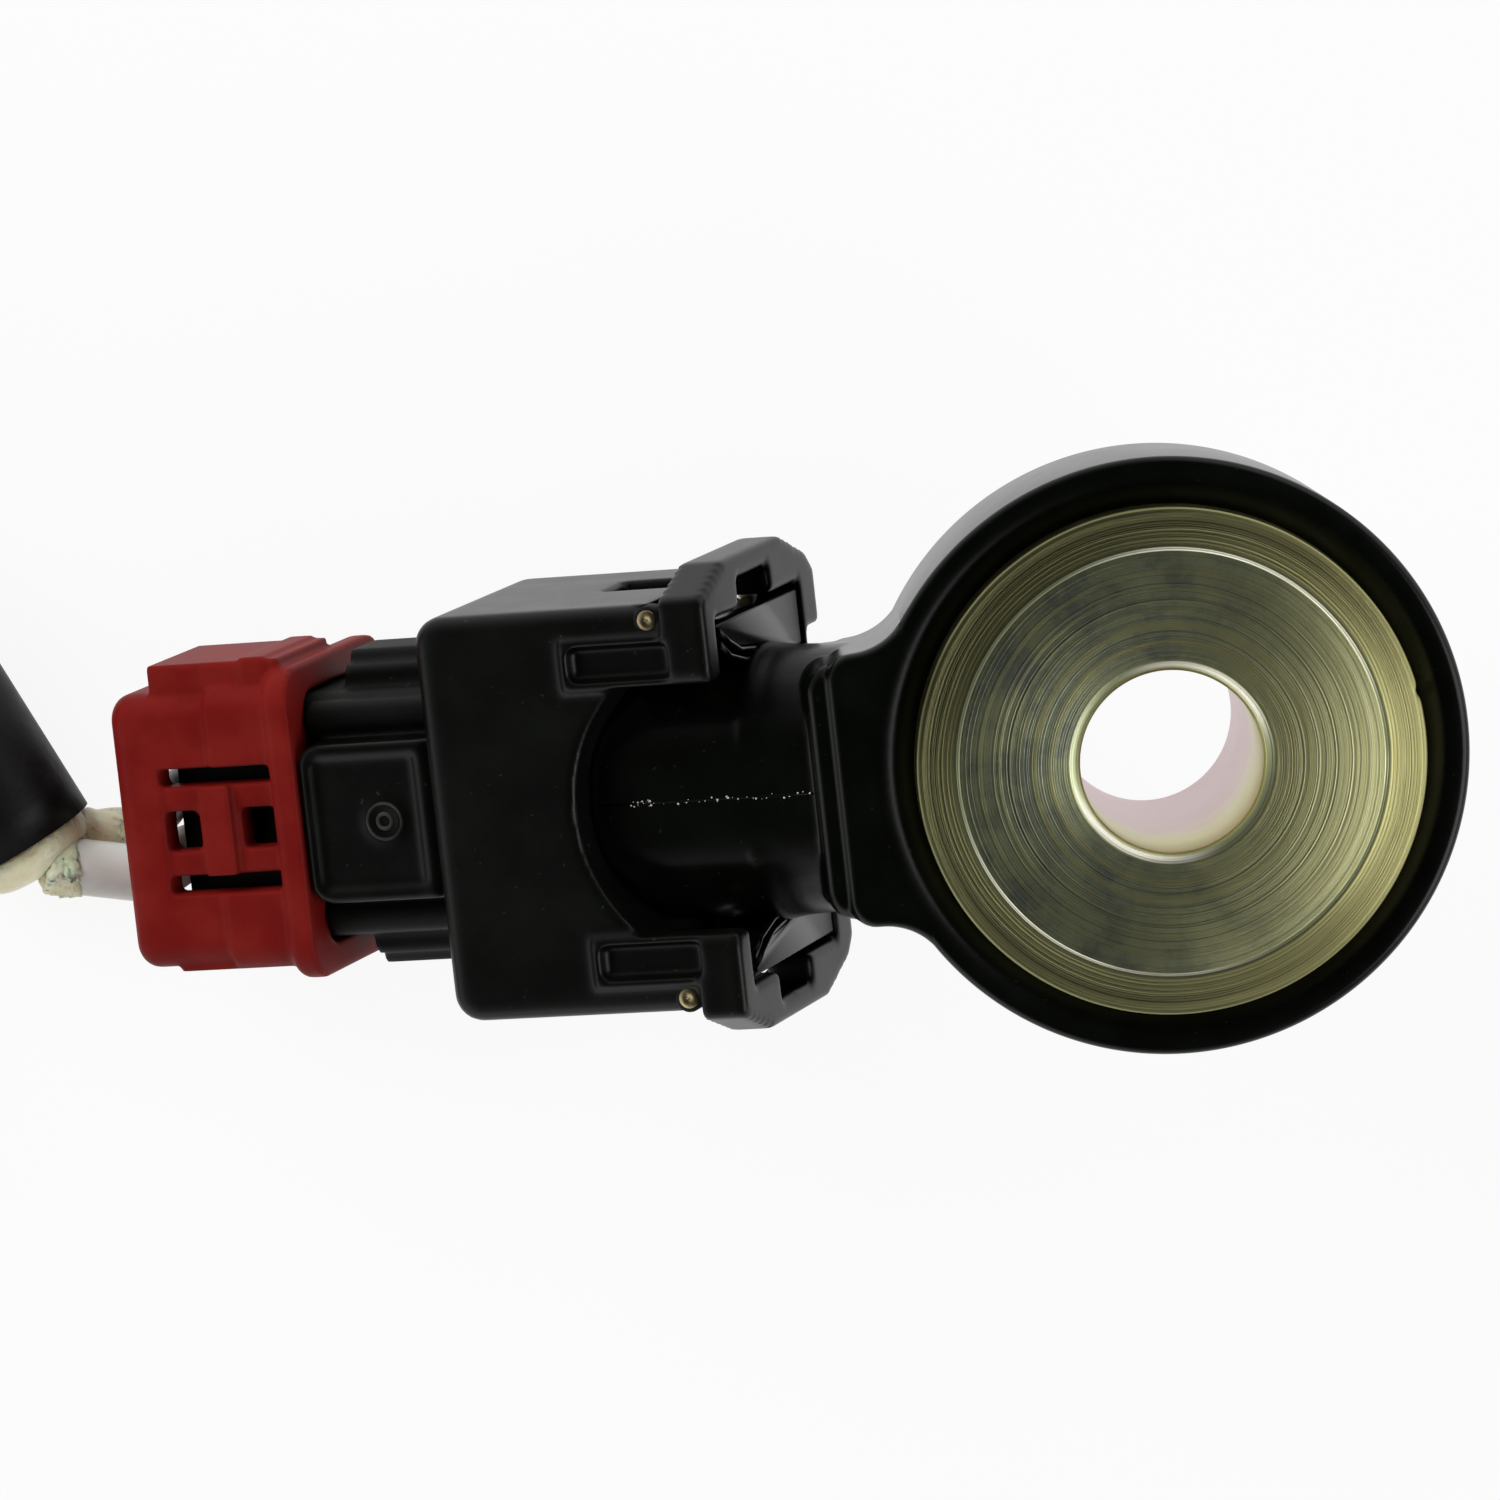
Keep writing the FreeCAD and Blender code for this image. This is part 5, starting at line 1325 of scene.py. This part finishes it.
@dataclass
class GumFilm:
    """Thin uneven gum that has crept out of the sheath along the two wires."""

    reaches: tuple[tuple[str, float], ...] = (("wire_signal", 2.4), ("wire_ground", 4.9))
    inside: float = 0.4
    thickness: float = 0.2
    unevenness: float = 0.27
    pitch: float = 1.1
    skin: Refine = Refine(0.12, 1)

    def build(self, material: bpy.types.Material) -> None:
        """Coat the start of each wire.

        Args:
            material: the gum's finish.
        """
        mouth = Vector(SHEATH_MOUTH)
        lead = flat_direction(LEAD_HEADING)
        for node, reach in self.reaches:
            piece = copy_node(node, Matrix.Identity(4))
            piece.name = node + "_gum"
            self._cut(piece.data, mouth + Vector((reach, 0, 0)), Vector((1, 0, 0)))
            self._cut(piece.data, mouth + lead * self.inside, lead)
            self.skin.run(piece)
            for vertex in piece.data.vertices:
                swell = self.thickness + self.unevenness * noise.noise(vertex.co / self.pitch)
                vertex.co += vertex.normal * swell
            finish_piece(piece, material)

    @staticmethod
    def _cut(mesh: bpy.types.Mesh, place: Vector, out: Vector) -> None:
        """Cut away what lies beyond a plane and close the cut.

        Args:
            mesh: the mesh to cut.
            place: a point of the plane.
            out: the way that is cut away.
        """
        with editing(mesh) as builder:
            everything = builder.verts[:] + builder.edges[:] + builder.faces[:]
            bmesh.ops.bisect_plane(builder, geom=everything, plane_co=place, plane_no=out, clear_outer=True)
            bmesh.ops.holes_fill(builder, edges=builder.edges)


@dataclass
class Lead:
    """Sheathed lead: a straight run out of the picture, one put away turn and the last bend."""

    run: float = 28.5
    run_marks: Flat = (0.4, 0.8)
    diameter: float = 7.0
    wall: float = 0.55
    rim: float = 0.08
    coil_radius: float = 42.0
    pitch: float = 8.0
    turns: float = 1.0
    tail_radius: float = 22.0
    tail_turn: float = 118.0
    tail_bends: int = 6
    steps: int = 18
    bulge: float = 1.015
    recess: int = 4
    sides: int = 40
    length: float = 0.31
    tape_angle: float = 205.0
    tape_width: float = 9.0
    tape_thickness: float = 0.18
    tape_edge: float = 0.05
    tape_inset: float = 0.02
    tape_slack: float = 0.16

    def points(self) -> list[Vector]:
        """Control points of the lead's line, in millimetres.

        Returns:
            The points, from the mouth to the far end.
        """
        start = Vector(SHEATH_MOUTH)
        ahead = flat_direction(LEAD_HEADING)
        centre = self._centre()
        inner = self.coil_radius - self.pitch * self.turns
        points = [start] + [start + ahead * self.run * mark for mark in self.run_marks]
        angle = LEAD_HEADING - 90
        for step in range(1, round(self.steps * self.turns) + 1):
            share = step / (self.steps * self.turns)
            radius = self.coil_radius + (inner - self.coil_radius) * share
            points.append(centre + flat_direction(angle + 360 * self.turns * share) * radius * self.bulge)
        end = angle + 360 * self.turns
        pivot = centre + flat_direction(end) * (inner - self.tail_radius)
        for step in range(1, self.tail_bends + 1):
            bulge = self.bulge if step < self.tail_bends else 1.0
            heading = end + self.tail_turn * step / self.tail_bends
            points.append(pivot + flat_direction(heading) * self.tail_radius * bulge)
        return points

    def _centre(self) -> Vector:
        """Middle of the put away turn."""
        first = Vector(SHEATH_MOUTH) + flat_direction(LEAD_HEADING) * self.run
        return first + flat_direction(LEAD_HEADING + 90) * self.coil_radius

    def line(self) -> list[Vector]:
        """The lead's smooth centre line, read from its spline.

        Returns:
            The line's points, in millimetres.
        """
        curve = bpy.data.curves.new("lead_line", "CURVE")
        curve.dimensions = "3D"
        curve.resolution_u = 12
        spline = curve.splines.new("NURBS")
        route = self.points()
        spline.points.add(len(route) - 1)
        for target, point in zip(spline.points, route):
            target.co = (*point, 1.0)
        spline.order_u = 3
        spline.use_endpoint_u = True
        holder = add_object("lead_line", curve)
        mesh = bpy.data.meshes.new_from_object(holder.evaluated_get(bpy.context.evaluated_depsgraph_get()))
        line = [vertex.co.copy() for vertex in mesh.vertices]
        bpy.data.objects.remove(holder)
        bpy.data.meshes.remove(mesh)
        return line

    def build(self, sheath: bpy.types.Material, tape: bpy.types.Material) -> None:
        """Args:
            sheath: the sheath's finish.
            tape: the tape's finish.
        """
        line = self.line()
        outer = self.diameter / 2
        inner = outer - self.wall
        last = len(line) - 1
        rings = [(self.recess, inner), (0, inner), (0, outer - self.rim)]
        rings += [(index, outer) for index in range(len(line))]
        rings += [(last, outer - self.rim), (last, inner), (last - self.recess, inner)]
        piece = make_object("lead_sheath", [Shell.tube(line, rings, self.sides)])
        finish_piece(piece, sheath, ("sheath_lead", "sheath_coil", "sheath_tail"))
        band = self._tape()
        finish_piece(band, tape)

    def _tape(self) -> bpy.types.Object:
        """Band of tape round the coil.

        Returns:
            The band, still in millimetres.
        """
        centre = self._centre()
        share = ((self.tape_angle - LEAD_HEADING + 90) % 360) / 360
        outer = self.coil_radius - self.pitch * share
        out = flat_direction(self.tape_angle)
        along = flat_direction(self.tape_angle + 90)
        half = self.diameter / 2 + self.tape_thickness
        outline = arc((0.0, 0.0), half, 90, -90, 14)
        outline += [(x - self.tape_slack, y) for x, y in arc((0.0, 0.0), half, -90, -270, 14)]
        end = self.tape_width / 2
        loops = []
        for offset, inset in ((-end, self.tape_inset), (self.tape_edge - end, 0.0),
                              (end - self.tape_edge, 0.0), (end, self.tape_inset)):
            loops.append([centre + out * (outer + x * (1 - inset)) + along * offset
                          + Vector((0, 0, y * (1 - inset))) for x, y in outline])
        return make_object("coil_tape", [Shell.stack(loops)])


@dataclass(frozen=True)
class Camera:
    """The photograph's camera: its frame is 1500 pixels square."""

    place: Spot = (-0.02885, 0.06198, 0.42497)
    turn: Spot = (-7.737, -2.178, -6.262)
    focal_pixels: float = 9438.5
    frame_pixels: float = 1500.0
    sensor: float = 36.0
    near: float = 0.01

    def build(self) -> None:
        """Make the scene's camera."""
        data = bpy.data.cameras.new("camera")
        data.sensor_width = self.sensor
        data.lens = self.focal_pixels / self.frame_pixels * self.sensor
        data.clip_start = self.near
        made = add_object("camera", data)
        made.location = self.place
        made.rotation_euler = tuple(math.radians(angle) for angle in self.turn)
        bpy.context.scene.camera = made


@dataclass(frozen=True)
class Lamp:
    """One soft box."""

    name: str
    place: Spot
    size: float
    power: float
    mirrored: bool = True

    def build(self) -> None:
        """Hang the lamp so that it faces the object."""
        data = bpy.data.lights.new(self.name, "AREA")
        data.shape = "SQUARE"
        data.size = self.size
        data.energy = self.power
        made = add_object(self.name, data)
        made.location = self.place
        made.visible_glossy = self.mirrored
        aim = Vector(AIM) - made.location
        made.rotation_euler = aim.to_track_quat("-Z", "Y").to_euler()


@dataclass(frozen=True)
class Studio:
    """Pale floor, light tent with a dark opening over the object, and soft boxes."""

    floor_size: float = 3.0
    floor_gap: float = 0.0003
    floor_white: float = 0.86
    floor_glow: float = 0.91
    horizon: float = 0.75
    window: float = 1.3
    window_heading: float = 38.0
    window_band: Flat = (0.35, 0.85)
    zenith: float = 0.03
    opening: Flat = (0.1, 0.8)
    lamps: tuple[Lamp, ...] = (
        Lamp("key", (0.65, -0.25, 0.6), 0.7, 5.0),
        Lamp("fill", (-0.6, 0.7, 0.5), 0.8, 10.0, mirrored=False),
    )

    def build(self) -> None:
        """Lay the floor, light the world and hang the lamps."""
        height = CAD_BOX[0].z - self.floor_gap
        half = self.floor_size / 2
        corners = [(-half, -half, height), (half, -half, height), (half, half, height), (-half, half, height)]
        mesh = bpy.data.meshes.new("floor")
        mesh.from_pydata(corners, [], [(0, 1, 2, 3)])
        floor = add_object("floor", mesh)
        mesh.materials.append(self._floor_material())
        self._light_world()
        for lamp in self.lamps:
            lamp.build()

    def _floor_material(self) -> bpy.types.Material:
        """Pale floor that the camera sees nearly white, with the object's shadow.

        Returns:
            The material.
        """
        tree = ShaderTree("floor")
        path = tree.node("ShaderNodeLightPath", {}, {})
        camera, mirror, through = (Sock(tree, path.outputs[name]) for name in SEEN_RAYS)
        seen = camera.most(mirror).most(through)
        white = (self.floor_white, self.floor_white, self.floor_white)
        matt = tree.node("ShaderNodeBsdfDiffuse", {}, {"Color": white})
        glow = tree.node("ShaderNodeEmission", {}, {"Color": (1.0, 1.0, 1.0), "Strength": 1.0})
        return tree.close(tree.node("ShaderNodeMixShader", {},
                                    {0: seen * self.floor_glow, 1: matt.outputs[0], 2: glow.outputs[0]}))

    def _light_world(self) -> None:
        """Tent light with two windows near the horizon and a dark top, white to the camera."""
        world = bpy.data.worlds.new("tent")
        bpy.context.scene.world = world
        tree = ShaderTree("tent", world)
        x, y, z = tree.split(tree.out("ShaderNodeTexCoord", "Generated", {}, {}))
        heading = math.radians(self.window_heading)
        along = x * math.cos(heading) + y * math.sin(heading)
        tent = self.horizon + (along * along).band(*self.window_band) * self.window
        top = z.band(*self.opening)
        light = tent * (1 - top) + self.zenith * top
        camera = tree.out("ShaderNodeLightPath", "Is Camera Ray", {}, {})
        strength = light * (1 - camera) + camera
        tree.close(tree.node("ShaderNodeBackground", {}, {"Strength": strength}))


FINISHES = {
    "sleeve": TurnedSteel(),
    "housing": Moulding("gloss_black", colour=(0.0008, 0.0014, 0.0007), cloud=(0.0018, 0.0026, 0.0016),
                        roughness=0.25, spread=0.06, grain=3.5, grain_depth=0.003, specular=0.22, dust=0.015),
    "plug": Moulding("satin_black", colour=(0.0013, 0.0018, 0.0012), cloud=(0.003, 0.0037, 0.0028),
                     roughness=0.34, spread=0.1, grain=9.0, grain_depth=0.006, specular=0.2, dust=0.03,
                     dull_end=0.3),
    "holder": Moulding("dull_red", colour=(0.145, 0.006, 0.005), cloud=(0.19, 0.012, 0.009),
                       roughness=0.48, spread=0.1, grain=7.0, grain_depth=0.008, specular=0.08),
    "stack_metal": DrawnMetal("machined_steel", colour=(0.55, 0.55, 0.56), tarnish=(0.42, 0.42, 0.4),
                              roughness=0.35),
    "contact_metal": DrawnMetal("tinned_brass", colour=(0.75, 0.7, 0.55), tarnish=(0.6, 0.52, 0.34),
                                roughness=0.3, along=Axis.X),
    "spring": DrawnMetal("spring_wire", colour=(0.46, 0.39, 0.21), tarnish=(0.30, 0.25, 0.14),
                         roughness=0.35),
    "insulator": SoftSkin("film", colour=(0.6, 0.42, 0.15), stain=(0.5, 0.33, 0.1), roughness=0.4,
                          lumps=2.0, lump_depth=0.005),
    "piezo": SoftSkin("fired_ceramic", colour=(0.62, 0.55, 0.42), stain=(0.55, 0.48, 0.36), roughness=0.6,
                      lumps=6.0, lump_depth=0.01),
    "seal": SoftSkin("silicone", colour=(0.32, 0.1, 0.05), stain=(0.28, 0.08, 0.04), roughness=0.45,
                     lumps=3.0, lump_depth=0.01),
    "resistor": SoftSkin("glazed_resistor", colour=(0.05, 0.08, 0.12), stain=(0.03, 0.05, 0.08),
                         roughness=0.3, lumps=4.0, lump_depth=0.01),
    "white_wire": SoftSkin("white_insulation", colour=(0.86, 0.88, 0.83), stain=(0.79, 0.78, 0.69),
                           roughness=0.35, lumps=1.2, lump_depth=0.03, glow=0.15),
    "grey_wire": SoftSkin("grey_insulation", colour=(0.12, 0.12, 0.13), stain=(0.2, 0.2, 0.2),
                          roughness=0.35, lumps=1.2, lump_depth=0.03),
    "sheath": SoftSkin("sheath_skin", colour=(0.003, 0.003, 0.0032), stain=(0.006, 0.006, 0.0065),
                       roughness=0.45, lumps=0.8, lump_depth=0.05, specular=0.15),
    "gum": SoftSkin("yellowed_gum", colour=(0.88, 0.83, 0.60), stain=(0.76, 0.69, 0.42), roughness=0.35,
                    lumps=1.6, lump_depth=0.2, glow=0.4),
    "scuffed": Moulding("scuffed_black", colour=(0.006, 0.007, 0.006), cloud=(0.05, 0.052, 0.046),
                        roughness=0.45, spread=0.1, grain=6.0, grain_depth=0.01, specular=0.3),
    # Painted shade for the holes round the spring's ends.
    "hole": SoftSkin("shaded_hole", colour=(0.0015, 0.0015, 0.0015), stain=(0.001, 0.001, 0.001),
                     roughness=0.8, lumps=1.0, lump_depth=0.0),
    "tape": SoftSkin("cloth_tape", colour=(0.02, 0.02, 0.02), stain=(0.03, 0.03, 0.03), roughness=0.6,
                     lumps=5.0, lump_depth=0.04),
    "flash": SoftSkin("torn_flash", colour=(0.6, 0.6, 0.58), stain=(0.45, 0.45, 0.43), roughness=0.6,
                      lumps=5.0, lump_depth=0.01),
}


class KnockSensor:
    """The dressed object: its finishes, its moulded pieces and its carried-over solids."""

    def __init__(self) -> None:
        """Build every finish once."""
        self.materials = {slot: finish.material() for slot, finish in FINISHES.items()}

    def dress_nodes(self) -> None:
        """Give each carried-over solid the finish of its material slot."""
        for part in frame["record"]["subparts"]:
            node = frame["nodes"][part["node"]]
            slot = part["material_slot"]
            if not node.material_slots:
                node.data.materials.append(None)
            for holder in node.material_slots:
                holder.material = self.materials[slot]
            LOG.info("%s: %s", part["node"], slot)

    def build(self) -> None:
        """Build every piece, the far plug first because it goes with the lead."""
        finish = self.materials
        lead = Lead()
        turn = Matrix.Rotation(math.radians(LEAD_HEADING + lead.tail_turn), 4, "Z")
        soften_node("far_housing", Refine(0.22, 2), turn, finish["plug"])
        lead.build(finish["sheath"], finish["tape"])
        SteelSleeve().build(finish["sleeve"])
        SensorMoulding().build(finish["housing"])
        BarrelFlash().build(finish["housing"], finish["flash"])
        plug = Plug()
        plug.build(finish["plug"], finish["scuffed"])
        plug.show_wire_ends(finish["spring"], finish["hole"])
        soften_node("rear_holder", Refine(0.14, 3), CONNECTOR.matrix(), finish["holder"])
        soften_node("sheath_gum", Refine(0.16, 4), Matrix.Identity(4), finish["gum"])
        GumFilm().build(finish["gum"])


def main() -> None:
    """Set up the view, then build and dress the sensor."""
    logging.basicConfig(level=logging.INFO, format="%(name)s %(message)s")
    bpy.context.scene.view_settings.view_transform = "Standard"
    Camera().build()
    sensor = KnockSensor()
    sensor.dress_nodes()
    sensor.build()
    Studio().build()


if __name__ == "__main__":
    main()
